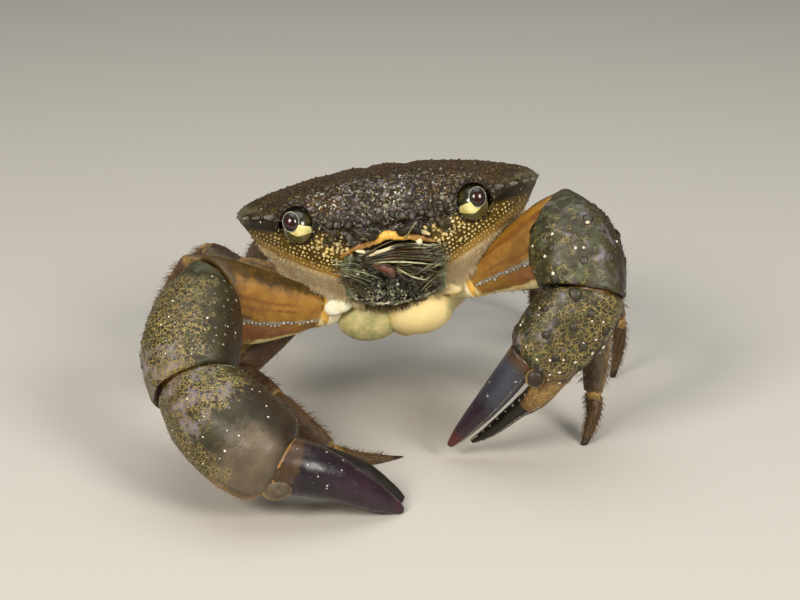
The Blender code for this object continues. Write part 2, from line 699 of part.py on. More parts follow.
MINOR_MOVING = (((34.2, -43.5, 32.0), (26.5, -42.5, 20.6), (20.5, -40.0, 11.7), (15.8, -37.0, 4.4)),
                (4.4, 3.7, 3.1, 2.2, 0.8))
MINOR_WARTS = {
    "carpus": {"shares": (0.28, 0.5, 0.72), "angles": (0, 30, 60, 90, 120, 150, 180), "size": (1.0, 1.3)},
    "palm": {"shares": (0.2, 0.38, 0.56, 0.74, 0.92), "angles": (20, 45, 70, 95, 120, 145, 170),
             "size": (0.9, 1.1)},
}
TOOTH = {"shares": (0.3, 0.45, 0.6, 0.74, 0.86), "radius": 1.1, "height": 1.3}


def claw_planes(j):
    return {
        "hip": joint_plane(j["root"], j["hip"], j["elbow"]),
        "elbow": joint_plane(j["hip"], j["elbow"], j["wrist"]),
        "wrist": joint_plane(j["elbow"], j["wrist"], j["knuckle"]),
        "knuckle": joint_plane(j["wrist"], j["knuckle"], j["tip"]),
    }


def add_warts(item, start, end, up, plan):
    rows = warts_round(item, start, end, up, plan["shares"], plan["angles"], *plan["size"])
    combine(item, rows, "UNION")


def claw_segments(j, stations, up):
    # The four shells of a claw, not yet cut at their joints.
    level = Vector((0, 0, 1))
    coxa = segment("coxa", j["root"], j["hip"], up, stations["coxa"])
    trim_to_body(coxa)
    merus = segment("merus", j["hip"], j["elbow"], level, stations["merus"], 14)
    trim_to_body(merus, gap=PASSING_GAP)
    carpus = segment("carpus", j["elbow"], j["wrist"], up, stations["carpus"], 16)
    palm = segment("palm", j["wrist"], j["knuckle"], up, stations["palm"], 18)
    return coxa, merus, carpus, palm


def cut_claw(j, coxa, merus, carpus, palm, dactylus):
    planes = claw_planes(j)
    for before, after, joint in ((coxa, merus, "hip"), (merus, carpus, "elbow"), (carpus, palm, "wrist")):
        cut_joint(before, j[joint], planes[joint], True)
        cut_joint(after, j[joint], planes[joint], False)
    cut_joint(dactylus, j["knuckle"], planes["knuckle"], False)
    return {"coxa": coxa, "merus": merus, "carpus": carpus, "palm": palm, "dactylus": dactylus}


def build_major_claw():
    j = MAJOR_JOINTS
    up = Vector((0, 0, 1))
    coxa, merus, carpus, palm = claw_segments(j, MAJOR_STATIONS, up)
    add_warts(merus, j["hip"], j["elbow"], up, MAJOR_BEADS)
    add_warts(carpus, j["elbow"], j["wrist"], up, MAJOR_WARTS)
    cut_joint(palm, j["knuckle"], claw_planes(j)["knuckle"], True)
    finger = tapered_tube("finger", MAJOR_FIXED[0], MAJOR_FIXED[1], 12, 4)
    grown = new_object("finger_trim", finger.data.copy(), cutter_collection)
    for vert in grown.data.vertices:
        vert.co += vert.normal * GAP
    combine(palm, [finger], "UNION")
    cut_plane(palm, Vector((0, 0, FLOOR)), Vector((0, 0, -1)))
    dactylus = tapered_tube("dactylus", MAJOR_MOVING[0], MAJOR_MOVING[1], 12, 4)
    combine(dactylus, [grown], "DIFFERENCE")
    cut_plane(dactylus, Vector((0, 0, FLOOR)), Vector((0, 0, -1)))
    return cut_claw(j, coxa, merus, carpus, palm, dactylus)


def build_minor_claw():
    j = MINOR_JOINTS
    coxa, merus, carpus, palm = claw_segments(j, MINOR_STATIONS, MINOR_UP)
    add_warts(carpus, j["elbow"], j["wrist"], MINOR_UP, MINOR_WARTS["carpus"])
    add_warts(palm, j["wrist"], j["knuckle"], MINOR_UP, MINOR_WARTS["palm"])
    cut_joint(palm, j["knuckle"], claw_planes(j)["knuckle"], True)
    finger = tapered_tube("finger", MINOR_FIXED[0], MINOR_FIXED[1], 12, 4)
    aim = (j["tip"] - j["knuckle"]).normalized()
    side = aim.cross(Vector((0, -1, 0))).normalized()
    if side.x < 0:
        side.negate()
    teeth = []
    tree = surface_tree(finger)
    for share in TOOTH["shares"]:
        start = j["knuckle"].lerp(j["tip"], share)
        hit, _, _, _ = tree.ray_cast(start, side)
        if hit is not None:
            teeth.append(wart(hit, -side, TOOTH["radius"], TOOTH["height"]))
    combine(palm, [finger] + teeth, "UNION")
    dactylus = tapered_tube("dactylus", MINOR_MOVING[0], MINOR_MOVING[1], 12, 4)
    return cut_claw(j, coxa, merus, carpus, palm, dactylus)


CLAW_FINISHES = {
    "coxa": "pale_shell",
    "merus": "orange_shell",
    "carpus": "limb_shell",
    "palm": "limb_shell",
    "dactylus": "finger_horn",
}


def build_claws():
    for tag, pieces in (("R", build_major_claw()), ("L", build_minor_claw())):
        for part, item in pieces.items():
            keep_largest_body(item)
            finish_node(item, f"claw_{part}_{tag}", CLAW_FINISHES[part])


# Walking legs: where each leaves the breast and has its knee, in the body's frame, and where
# its tip stands on the floor. Leg 1 is the front one.
LEG_LENGTHS = (14.0, 21.0, 19.0)
FOOT_RADII = (2.3, 2.1, 1.6, 1.1, 0.7)
FOOT_BOW = 1.2
TIP_DROP = 0.9
LEGS = {
    ("R", 1): {"root": (-15, 0, -21), "hip": (-24, -1, -22), "knee": Vector((-40.2, -18.0, 17.0)),
               "chain": (Vector((-29.8, -30.5, 13.6)), Vector((-14.9, -43.2, 5.2))), "tip": (4.4, -34.6)},
    ("R", 2): {"root": (-15, 6, -21), "hip": (-24.5, 7.5, -22), "knee": (-47, 13, -13), "tip": (-60, 20)},
    ("R", 3): {"root": (-14, 12, -20), "hip": (-23, 15.5, -21.5), "knee": (-46, 27, -14), "tip": (-62, 44)},
    ("R", 4): {"root": (-12, 18, -19), "hip": (-18.5, 22.5, -20.5), "knee": (-33, 41, -14), "tip": (-43, 62)},
    ("L", 1): {"root": (15, 0, -21), "hip": (24, -1, -22), "knee": Vector((52.0, -16.0, 44.0)),
               "chain": (Vector((55.0, -18.5, 31.0)), Vector((54.2, -21.0, 12.0))), "tip": (51.0, -28.0)},
    ("L", 2): {"root": (15, 6, -21), "hip": (24.5, 7.5, -22), "knee": (46, 12, -15), "tip": (64, 17)},
    ("L", 3): {"root": (14, 12, -20), "hip": (23, 15.5, -21.5), "knee": (44, 26, -15.5), "tip": (62, 42)},
    ("L", 4): {"root": (12, 18, -19), "hip": (18.5, 22.5, -20.5), "knee": (33, 39, -15), "tip": (44, 60)},
}

STUB_STATIONS = [(0, 3.4, 3.8, 0, 0), (0.6, 3.4, 3.9, 0, 0), (1.1, 3.0, 3.5, 0, 0)]
UPPER_STATIONS = [(-0.16, 2.6, 3.0, 0, 0), (0.06, 2.8, 3.5, 0, 0), (0.5, 2.9, 4.3, 0, 0.1),
                  (0.85, 2.8, 4.2, 0, 0.2), (1.0, 2.6, 3.6, 0, 0), (1.14, 2.3, 3.0, 0, 0)]
WRIST_STATIONS = [(-0.2, 2.4, 3.0, 0, 0), (0.1, 2.7, 3.5, 0, 0), (0.7, 2.9, 3.9, 0, 0.1),
                  (1.0, 2.6, 3.4, 0, 0), (1.2, 2.3, 2.8, 0, 0)]
SHIN_STATIONS = [(-0.14, 2.3, 2.9, 0, 0), (0.08, 2.5, 3.4, 0, 0), (0.45, 2.6, 3.5, 0, 0),
                 (0.8, 2.3, 3.0, 0, 0), (1.0, 2.0, 2.5, 0, 0), (1.14, 1.8, 2.2, 0, 0)]


def leg_chain(knee, tip, lengths):
    # Joints from knee to tip, bent evenly outward so that the chain just reaches the tip.
    reach = (tip - knee).length
    if reach > 0.995 * sum(lengths):
        lengths = [length * reach / (0.985 * sum(lengths)) for length in lengths]

    def bent(turn):
        point, angle, run = Vector((0, 0)), 0.0, [Vector((0, 0))]
        for length in lengths:
            point = point + Vector((math.cos(angle), math.sin(angle))) * length
            run.append(point)
            angle -= turn
        return run

    low, high = 0.0, 1.4
    for _ in range(40):
        turn = (low + high) / 2
        if bent(turn)[-1].length > reach:
            low = turn
        else:
            high = turn
    run = bent(low)
    lean = math.atan2(run[-1].y, run[-1].x)
    along = (tip - knee).normalized()
    level = Vector((tip.x - knee.x, tip.y - knee.y, 0))
    outward = (level - along * level.dot(along)).normalized()
    joints = []
    for point in run[1:-1]:
        flat = Matrix.Rotation(-lean, 2) @ point
        joints.append(knee + along * flat.x + outward * flat.y)
    return joints


def build_leg(tag, number, leg):
    root, hip = body_matrix @ Vector(leg["root"]), body_matrix @ Vector(leg["hip"])
    tip = Vector((leg["tip"][0], leg["tip"][1], FLOOR - TIP_DROP))
    if "chain" in leg:
        knee, chain = leg["knee"], list(leg["chain"])
    else:
        knee = body_matrix @ Vector(leg["knee"])
        chain = leg_chain(knee, tip, LEG_LENGTHS)
    ankle, toe = chain
    up = Vector((0, 0, 1))
    knee_plane = joint_plane(hip, knee, ankle)
    ankle_plane = joint_plane(knee, ankle, toe)
    toe_plane = joint_plane(ankle, toe, tip)

    upper = segment("upper", hip, knee, up, UPPER_STATIONS)
    stub = segment("stub", root, hip, up, STUB_STATIONS)
    combine(upper, [stub], "UNION")
    trim_to_body(upper)
    cut_joint(upper, knee, knee_plane, True)

    wrist_up = (knee - hip).normalized()
    wrist = segment("wrist", knee, ankle, wrist_up, WRIST_STATIONS)
    cut_joint(wrist, knee, knee_plane, False)
    cut_joint(wrist, ankle, ankle_plane, True)

    shin = segment("shin", ankle, toe, wrist_up, SHIN_STATIONS)
    cut_joint(shin, ankle, ankle_plane, False)
    cut_joint(shin, toe, toe_plane, True)

    bow = wrist_up * FOOT_BOW
    foot = tapered_tube("foot", [
        toe - (tip - toe) * 0.12, toe.lerp(tip, 0.35) + bow, toe.lerp(tip, 0.75) + bow * 0.7, tip,
    ], FOOT_RADII, 8, 3, 1.0, wrist_up)
    cut_joint(foot, toe, toe_plane, False)
    cut_plane(foot, Vector((0, 0, FLOOR)), Vector((0, 0, -1)))

    for item, part in ((upper, "merus"), (wrist, "carpus"), (shin, "propodus"), (foot, "dactylus")):
        keep_largest_body(item)
        finish_node(item, f"leg{number}_{part}_{tag}", "leg_shell")


def to_metres():
    for item in part_collection.objects:
        item.data.transform(Matrix.Translation(-STANCE_MIDDLE))
        item.data.transform(Matrix.Scale(MM, 4))
        item.data.shade_smooth()
        item.data.set_sharp_from_angle(angle=math.radians(35))
        item.data.update()
    for item in list(cutter_collection.objects):
        bpy.data.objects.remove(item)


build_body()
for eye_side, eye_tag in ((-1, "R"), (1, "L")):
    build_eye(eye_side, eye_tag)
    build_feelers(eye_side, eye_tag)
    build_maxilliped(eye_side, eye_tag)
build_abdomen()
build_claws()
for (leg_tag, leg_number), leg_data in LEGS.items():
    build_leg(leg_tag, leg_number, leg_data)
to_metres()
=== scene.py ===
# A warty crab (Eriphia verrucosa), life size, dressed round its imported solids.
# Pieces are made in millimetres and turned to metres when they are placed.
# The crab faces -Y, its left side is +X and the floor is z = 0.
import math

import bpy
import numpy as np
from mathutils import Matrix, Vector
from mathutils.bvhtree import BVHTree


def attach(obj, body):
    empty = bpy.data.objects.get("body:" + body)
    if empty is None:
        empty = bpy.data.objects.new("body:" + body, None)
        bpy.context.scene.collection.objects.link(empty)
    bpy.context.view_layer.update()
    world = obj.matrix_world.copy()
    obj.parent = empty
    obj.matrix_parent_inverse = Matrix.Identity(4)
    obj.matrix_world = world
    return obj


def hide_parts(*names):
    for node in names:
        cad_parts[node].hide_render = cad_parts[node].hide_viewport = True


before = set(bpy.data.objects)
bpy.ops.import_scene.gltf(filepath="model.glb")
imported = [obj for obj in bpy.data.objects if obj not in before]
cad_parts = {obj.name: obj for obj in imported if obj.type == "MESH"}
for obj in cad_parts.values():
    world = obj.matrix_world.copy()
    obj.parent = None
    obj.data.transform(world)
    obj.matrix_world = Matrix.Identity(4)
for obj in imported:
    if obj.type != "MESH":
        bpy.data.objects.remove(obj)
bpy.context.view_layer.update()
draw = np.random.default_rng(11)

stance = {"pitch": 14.0, "roll": 8.0, "height": 57.0, "middle": (-0.3, -6.7, 0.0)}
limbPlace = Matrix.Scale(0.001, 4) @ Matrix.Translation(-Vector(stance["middle"]))
bodyTurn = (
    Matrix.Translation((0, 0, stance["height"]))
    @ Matrix.Rotation(-math.radians(stance["roll"]), 4, "Y")
    @ Matrix.Rotation(-math.radians(stance["pitch"]), 4, "X")
)
bodyPlace = limbPlace @ bodyTurn


# Small tools


def linear(code):
    # an sRGB hex colour as the linear one that a shader takes
    parts = [int(code[i:i + 2], 16) / 255 for i in (0, 2, 4)]
    return tuple(v / 12.92 if v <= 0.04045 else ((v + 0.055) / 1.055) ** 2.4 for v in parts) + (1.0,)


def addNode(tree, kind, settings=None, links=None):
    node = tree.nodes.new(kind)
    for key, value in (settings or {}).items():
        if isinstance(key, str) and hasattr(node, key):
            setattr(node, key, value)
        else:
            node.inputs[key].default_value = value
    for key, source in (links or {}).items():
        tree.links.new(source, node.inputs[key])
    return node


def deselectAll():
    bpy.ops.object.select_all(action="DESELECT")


def makeActive(piece):
    deselectAll()
    piece.select_set(True)
    bpy.context.view_layer.objects.active = piece


def coordsOf(piece):
    coords = np.empty(len(piece.data.vertices) * 3, np.float32)
    piece.data.vertices.foreach_get("co", coords)
    return coords.reshape(-1, 3).astype(float)


def setCoords(piece, coords):
    piece.data.vertices.foreach_set("co", np.asarray(coords, np.float32).ravel())
    piece.data.update()


def normalsOf(piece):
    normals = np.empty(len(piece.data.vertices) * 3, np.float32)
    piece.data.vertex_normals.foreach_get("vector", normals)
    return normals.reshape(-1, 3).astype(float)


def paint(piece, zone, values):
    # a mask on the mesh that a finish reads by its name: one value, or one for each vertex
    layer = piece.data.attributes.get(zone) or piece.data.attributes.new(zone, "FLOAT", "POINT")
    values = np.broadcast_to(values, len(piece.data.vertices))
    layer.data.foreach_set("value", np.clip(values, 0, 1).astype(np.float32))


def ramp(values, low, high):
    # from 0 at low to 1 at high with soft ends; low may be the greater of the two
    share = np.clip((np.asarray(values, float) - low) / (high - low), 0, 1)
    return share * share * (3 - 2 * share)


def unit(vectors):
    vectors = np.asarray(vectors, float)
    return vectors / np.maximum(np.linalg.norm(vectors, axis=-1, keepdims=True), 1e-9)


def smoothSpan(p0, p1, p2, p3, steps):
    # the smooth way from p1 to p2, without p2 itself
    t = np.arange(steps)[:, None] / steps
    return 0.5 * (2 * p1 + (p2 - p0) * t + (2 * p0 - 5 * p1 + 4 * p2 - p3) * t ** 2
                  + (3 * p1 - p0 - 3 * p2 + p3) * t ** 3)


def smoothRun(points, steps):
    # a smooth run through control rows
    points = np.asarray(points, float)
    run = np.vstack([points[:1], points, points[-1:]])
    spans = [smoothSpan(*four, steps) for four in zip(run, run[1:], run[2:], run[3:])]
    return np.vstack(spans + [points[-1:]])


def onRun(run, share):
    # the point at a share of a run's steps
    at = share * (len(run) - 1)
    return np.array([np.interp(at, range(len(run)), run[:, k]) for k in range(3)])


def onSide(side, points):
    # points given for the crab's left side, mirrored when side is -1
    return [(side * x, y, z) for x, y, z in points]


def farFrom(points, path):
    # the distance from each point to a line of several points
    best = np.full(len(points), 1e9)
    path = np.asarray(path, float)
    for a, b in zip(path, path[1:]):
        along = np.clip(((points - a) @ (b - a)) / max((b - a) @ (b - a), 1e-9), 0, 1)
        best = np.minimum(best, np.linalg.norm(points - a - along[:, None] * (b - a), axis=1))
    return best


# Making shells


def wrapShell(name, rings):
    # a grid wrapped round the rings, welded along its seam and at its poles
    rings = np.asarray(rings, float)
    rows, sides = rings.shape[:2]
    deselectAll()
    bpy.ops.mesh.primitive_grid_add(x_subdivisions=sides, y_subdivisions=rows - 1, size=2)
    piece = bpy.context.object
    piece.name = piece.data.name = name
    setCoords(piece, np.concatenate([rings, rings[:, :1]], axis=1).reshape(-1, 3))
    bpy.ops.object.mode_set(mode="EDIT")
    bpy.ops.mesh.select_all(action="SELECT")
    bpy.ops.mesh.remove_doubles(threshold=0.0005)
    bpy.ops.mesh.normals_make_consistent(inside=False)
    bpy.ops.object.mode_set(mode="OBJECT")
    return piece


def tubeShell(name, points, radii, sides, steps, flatten=1.0, up=(0, 0, 1), ends=0.6):
    # a tapered tube along a smooth run, its radius read between the given values
    path = smoothRun(points, steps)
    places = np.linspace(0, len(radii) - 1, len(path))
    thick = np.interp(places, np.arange(len(radii)), radii)
    ahead = unit(np.gradient(path, axis=0))
    across = unit(np.cross(ahead, up))
    over = np.cross(across, ahead)
    angles = np.linspace(0, math.tau, sides, endpoint=False)
    rings = []
    for i in range(len(path)):
        rings.append(path[i] + thick[i] * (np.cos(angles)[:, None] * across[i]
                                           + flatten * np.sin(angles)[:, None] * over[i]))
    first, last = rings[0], rings[-1]
    pole, tip = path[0] - ahead[0] * thick[0] * ends, path[-1] + ahead[-1] * thick[-1] * ends
    cap = [np.repeat(pole[None], sides, axis=0), 0.55 * first + 0.45 * pole + 0.2 * (pole - path[0])]
    tail = [0.55 * last + 0.45 * tip + 0.2 * (tip - path[-1]), np.repeat(tip[None], sides, axis=0)]
    return wrapShell(name, cap + rings + tail)


def roundBall(name, centre, radii, segments, rings, turn=0.0, axis="Y"):
    # a ball or egg, turned by some degrees about one axis
    deselectAll()
    bpy.ops.mesh.primitive_uv_sphere_add(segments=segments, ring_count=rings, radius=1)
    piece = bpy.context.object
    piece.name = piece.data.name = name
    turned = Matrix.Rotation(math.radians(turn), 4, axis)
    piece.data.transform(Matrix.Translation(centre) @ turned @ Matrix.Diagonal((*radii, 1.0)))
    piece.data.update()
    return piece


def useModifier(piece, kind, settings):
    makeActive(piece)
    step = piece.modifiers.new("step", kind)
    for key, value in settings.items():
        setattr(step, key, value)
    bpy.ops.object.modifier_apply(modifier=step.name)


def carve(piece, cutter, operation="DIFFERENCE"):
    useModifier(piece, "BOOLEAN", {"operation": operation, "object": cutter, "solver": "MANIFOLD"})
    bpy.data.objects.remove(cutter)


def keepSide(piece, point, outward):
    # cuts a piece at a plane and closes the cut
    makeActive(piece)
    bpy.ops.object.mode_set(mode="EDIT")
    bpy.ops.mesh.select_all(action="SELECT")
    bpy.ops.mesh.bisect(plane_co=point, plane_no=outward, use_fill=True, clear_outer=True,
                        clear_inner=False)
    bpy.ops.object.mode_set(mode="OBJECT")


def swell(piece, sizeMm, amountMm):
    # slow unevenness, as a living shell has
    texture = bpy.data.textures.new("unevenness", "CLOUDS")
    texture.noise_scale = sizeMm
    texture.noise_depth = 1
    useModifier(piece, "DISPLACE", {"texture": texture, "strength": amountMm, "mid_level": 0.5})


def place(piece, matrix, finish, replaced):
    piece.data.transform(matrix)
    piece.data.update()
    piece.data.materials.clear()
    piece.data.materials.append(finish)
    piece.data.shade_smooth()
    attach(piece, "root")
    if replaced:
        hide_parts(*replaced)
    return piece


def surfaceOf(piece):
    return BVHTree.FromPolygons([v.co.copy() for v in piece.data.vertices],
                                [tuple(p.vertices) for p in piece.data.polygons])


def manyCopies(name, coords, faces):
    # one mesh of many closed bits; coords holds the points of each, and faces those of one bit
    count, size = coords.shape[:2]
    mesh = bpy.data.meshes.new(name)
    mesh.from_pydata(coords.reshape(-1, 3).tolist(), [],
                     [[v + size * k for v in face] for k in range(count) for face in faces])
    piece = bpy.data.objects.new(name, mesh)
    bpy.context.scene.collection.objects.link(piece)
    return piece


def joinCopies(name, model, points, aims, radii, heights, shades):
    # many small copies of a model, each set on its point along its aim
    base = coordsOf(model)
    faces = [list(p.vertices) for p in model.data.polygons]
    points, aims = np.asarray(points, float), unit(aims)
    count = len(points)
    side = unit(np.cross(aims, draw.normal(size=(count, 3))))
    other = np.cross(aims, side)
    radii, heights = np.asarray(radii, float)[:, None, None], np.asarray(heights, float)[:, None, None]
    wide, slim = draw.uniform(0.78, 1.28, (2, count, 1, 1))  # no two have the same shape
    coords = (points[:, None] + base[None, :, 0:1] * radii * wide * side[:, None]
              + base[None, :, 1:2] * radii * slim * other[:, None]
              + base[None, :, 2:3] * heights * aims[:, None])
    piece = manyCopies(name, coords, faces)
    # the height up each copy, which a finish uses to make the top paler: partly its own colour, partly a
    # painted highlight
    paint(piece, "tip", np.tile(np.clip(base[:, 2], 0, 1), count))
    paint(piece, "shade", np.repeat(shades, len(base)))
    return piece


print("tools ready")


# Finishes


def newFinish(name):
    finish = bpy.data.materials.new(name)
    finish.use_nodes = True
    tree = finish.node_tree
    where = addNode(tree, "ShaderNodeTexCoord").outputs["Object"]
    return finish, tree, tree.nodes["Principled BSDF"], where


def noiseOf(tree, where, sizeMm, detail, output="Fac"):
    return addNode(tree, "ShaderNodeTexNoise", {"Scale": 1000 / sizeMm, "Detail": detail},
                   {"Vector": where}).outputs[output]


def spanOf(tree, value, low, high):
    return addNode(tree, "ShaderNodeMapRange", {"From Min": low, "From Max": high},
                   {"Value": value}).outputs[0]


def maskOf(tree, zone):
    return addNode(tree, "ShaderNodeAttribute", {"attribute_name": zone}).outputs["Fac"]


def mathOf(tree, kind, operation, *values):
    # the values are numbers, vectors or sockets
    plain = {i: value for i, value in enumerate(values) if isinstance(value, (float, tuple))}
    links = {i: value for i, value in enumerate(values) if i not in plain}
    return addNode(tree, f"ShaderNode{kind}", {"operation": operation, **plain}, links).outputs[0]


def mixOf(tree, share, first, second):
    # each colour is a hex code or a socket
    settings, links = {"data_type": "RGBA"}, {0: share}
    for entry, colour in ((6, first), (7, second)):
        if isinstance(colour, str):
            settings[entry] = linear(colour)
        else:
            links[entry] = colour
    return addNode(tree, "ShaderNodeMix", settings, links).outputs[2]


shellLook = {
    "driftEdge": (0.38, 0.62), "raggedMm": 1.6, "cover": (0.0, 0.12), "stainShift": (0.017, 0.011),
    "netBreaks": (0.66, 0.82), "glossEdge": (0.3, 0.7), "bumpDepth": 0.0002, "coatRoughness": 0.15,
    "glowRadius": (1.0, 0.6, 0.3), "glowScale": 0.001,
}


def shellFinish(name, plan):
    # Calcified cuticle: mottled under a thin satin skin. Masks painted on the mesh say where each
    # colour lies, and noise of a real size breaks up their edges.
    finish, tree, shader, where = newFinish(name)
    drift = spanOf(tree, noiseOf(tree, where, plan["driftMm"], 5.0), *shellLook["driftEdge"])
    colour = mixOf(tree, drift, *plan["ground"])
    ragged = noiseOf(tree, where, shellLook["raggedMm"], 6.0)
    for order, (zone, code, otherCode, blur, *patchMm) in enumerate(plan.get("zones", ())):
        mask = maskOf(tree, zone)
        patch = ragged
        if patchMm:  # stains with a size of their own, clear of the other zones' stains
            shiftX, shiftY = shellLook["stainShift"]
            shifted = mathOf(tree, "VectorMath", "ADD", where, (shiftX * order + 0.01, shiftY * order, 0))
            patch = noiseOf(tree, shifted, patchMm[0], 5.0)
        moved = mathOf(tree, "Math", "MULTIPLY_ADD", patch, 1.1, -0.55)
        edge = spanOf(tree, mathOf(tree, "Math", "ADD", mask, moved), 0.5 - blur, 0.5 + blur)
        held = mathOf(tree, "Math", "MULTIPLY", edge, spanOf(tree, mask, *shellLook["cover"]))
        colour = mixOf(tree, held, colour, mixOf(tree, drift, code, otherCode))
    if "net" in plan:  # a net of fine pale lines like worm trails, broken in places
        net = plan["net"]
        warp = noiseOf(tree, where, 1.1 * net["mm"], 3.0, "Color")
        centred = mathOf(tree, "VectorMath", "SUBTRACT", warp, (0.5, 0.5, 0.5))
        bent = mathOf(tree, "VectorMath", "MULTIPLY_ADD", centred, (0.0016 * net["mm"],) * 3, where)
        cells = addNode(tree, "ShaderNodeTexVoronoi",
                        {"feature": "DISTANCE_TO_EDGE", "Scale": 1000 / net["mm"]}, {"Vector": bent})
        line = spanOf(tree, cells.outputs["Distance"], net["line"] * 1.7, net["line"] * 0.5)
        breaks = noiseOf(tree, where, 2.2 * net["mm"], 4.0)
        kept = mathOf(tree, "Math", "MULTIPLY_ADD", maskOf(tree, "net"), 0.45, breaks)
        shown = mathOf(tree, "Math", "MULTIPLY", line, spanOf(tree, kept, *shellLook["netBreaks"]))
        colour = mixOf(tree, shown, colour, mixOf(tree, drift, net["colour"], net["otherColour"]))
    for speck in plan.get("specks", ()):  # round dots, only in some of the cells
        dots = addNode(tree, "ShaderNodeTexVoronoi", {"Scale": 1000 / speck["mm"]}, {"Vector": where})
        dot = spanOf(tree, dots.outputs["Distance"], speck["size"] * 1.25, speck["size"] * 0.75)
        chosen = addNode(tree, "ShaderNodeSeparateColor", None, {"Color": dots.outputs["Color"]})
        kept = mathOf(tree, "Math", "GREATER_THAN", chosen.outputs[0], 1 - speck["share"])
        shown = mathOf(tree, "Math", "MULTIPLY", dot, kept)
        if "zone" in speck:
            shown = mathOf(tree, "Math", "MULTIPLY", shown, maskOf(tree, speck["zone"]))
        colour = mixOf(tree, shown, colour, speck["colour"])
    tree.links.new(colour, shader.inputs["Base Color"])
    grain = noiseOf(tree, where, plan["grainMm"], 4.0)
    bump = addNode(tree, "ShaderNodeBump", {"Strength": plan["bump"], "Distance": shellLook["bumpDepth"]},
                   {"Height": grain})
    tree.links.new(bump.outputs[0], shader.inputs["Normal"])
    (edgeLow, edgeHigh), (low, high) = shellLook["glossEdge"], plan["roughness"]
    gloss = addNode(tree, "ShaderNodeMapRange",
                    {"From Min": edgeLow, "From Max": edgeHigh, "To Min": low, "To Max": high},
                    {"Value": ragged})
    tree.links.new(gloss.outputs[0], shader.inputs["Roughness"])
    for entry, value in {
        "Specular IOR Level": plan.get("shine", 0.36), "Subsurface Weight": plan.get("glow", 0.0),
        "Subsurface Radius": shellLook["glowRadius"], "Subsurface Scale": shellLook["glowScale"],
        "Coat Weight": plan.get("coat", 0.0), "Coat Roughness": shellLook["coatRoughness"],
    }.items():
        shader.inputs[entry].default_value = value
    return finish


def wartFinish(name, flank, tip, otherTip, roughness, shine=0.4):
    # Granules of shell: the flank has the ground's colour and the top is paler, partly the granule's own
    # colour and partly a painted highlight.
    finish, tree, shader, where = newFinish(name)
    tone = spanOf(tree, noiseOf(tree, where, 2.2, 3.0), 0.4, 0.6)
    paleTopAndHighlight = spanOf(tree, maskOf(tree, "tip"), 0.35, 0.85)
    shown = mathOf(tree, "Math", "MULTIPLY", paleTopAndHighlight, maskOf(tree, "shade"))
    colour = mixOf(tree, shown, flank, mixOf(tree, tone, tip, otherTip))
    tree.links.new(colour, shader.inputs["Base Color"])
    shader.inputs["Roughness"].default_value = roughness
    shader.inputs["Specular IOR Level"].default_value = shine
    return finish


# dark brown-olive cuticle of the back, golden brown on the cheeks, crusted with lilac and green at the
# front, with painted shade in the orbits
carapaceFinish = shellFinish("calcifiedCuticleOfBack", {
    "ground": ("261c0f", "3a2b15"), "driftMm": 7.0, "roughness": (0.42, 0.62), "bump": 0.6, "grainMm": 0.45,
    "shine": 0.2,
    "zones": (("ruddy", "3f2615", "2e1d10", 0.35, 5.0), ("moss", "5d5a45", "4a4833", 0.3, 2.4),
              ("cheek", "62501f", "4b3b16", 0.3), ("ochre", "a8843c", "906e30", 0.35),
              ("plush", "dac79c", "c4ad80", 0.3, 1.2), ("sooty", "1d180f", "2a2416", 0.3),
              # the dark colour in the orbits is painted shade
              ("socketShade", "221c10", "2c2415", 0.3), ("lilac", "57505c", "756d78", 0.1, 1.7),
              ("lichen", "686e58", "8a907a", 0.08, 1.3), ("crust", "a09d92", "c6c4ba", 0.05, 0.75)),
    "specks": ({"mm": 0.48, "size": 0.3, "share": 0.46, "colour": "967538", "zone": "golden"},
               {"mm": 2.3, "size": 0.12, "share": 0.16, "colour": "d8d6c4"}),
})
# olive cuticle of the claws, with a fine tan net, lilac and green stains and smooth grey places; the grey on
# the heavy claw's palm is partly its own colour and partly a painted sheen
limbFinish = shellFinish("calcifiedCuticleOfClaws", {
    "ground": ("2b2816", "3a3520"), "driftMm": 6.0, "roughness": (0.34, 0.55), "bump": 0.35, "grainMm": 0.5,
    "zones": (("grey", "655947", "53483a", 0.3), ("brown", "33281a", "282015", 0.3),
              ("warm", "8f6a3c", "76562f", 0.3), ("rim", "8f7a4a", "77653c", 0.25),
              ("lilac", "6d6674", "857d88", 0.13, 3.0), ("lichen", "4d5436", "40472c", 0.12, 2.2),
              ("pale", "d8bc74", "e6d49c", 0.2), ("horn", "17130f", "211b16", 0.2)),
    "net": {"mm": 1.12, "line": 0.052, "colour": "97854e", "otherColour": "82703f"},
    "specks": ({"mm": 1.3, "size": 0.11, "share": 0.35, "colour": "14120c"},
               {"mm": 3.1, "size": 0.1, "share": 0.2, "colour": "d6d2c0"}),
})
# orange-brown, smoother cuticle of the inner faces, streaked along the limb and pale at its edges
orangeFinish = shellFinish("calcifiedCuticleOrange", {
    "ground": ("80591f", "956d27"), "driftMm": 3.0, "roughness": (0.32, 0.48), "bump": 0.2, "grainMm": 0.4,
    "glow": 0.08,
    "zones": (("flame", "e2ae38", "d09a2e", 0.3), ("streak", "73481a", "7b4e1c", 0.2, 1.4),
              ("brick", "92653c", "7c5232", 0.25), ("dark", "3d2e14", "4b3a19", 0.3),
              ("dusk", "45301a", "3a2a18", 0.3), ("ashen", "7c7668", "928b7a", 0.2),
              ("pale", "efe0a8", "e6c878", 0.2)),
    "specks": ({"mm": 0.6, "size": 0.16, "share": 0.25, "colour": "b07a30"},),
})
# cream, thin-walled cuticle of the breast and claw bases
creamFinish = shellFinish("thinCuticleCream", {
    "ground": ("d9c384", "e0cd94"), "driftMm": 5.0, "roughness": (0.42, 0.55), "bump": 0.1, "grainMm": 0.6,
    "glow": 0.15,
    "zones": (("green", "a3a06c", "8d8c5c", 0.35), ("bright", "e9ebdc", "dfe4d2", 0.3),
              ("flame", "dda23c", "cf8d2c", 0.3), ("brown", "5a4426", "6a5230", 0.3)),
})
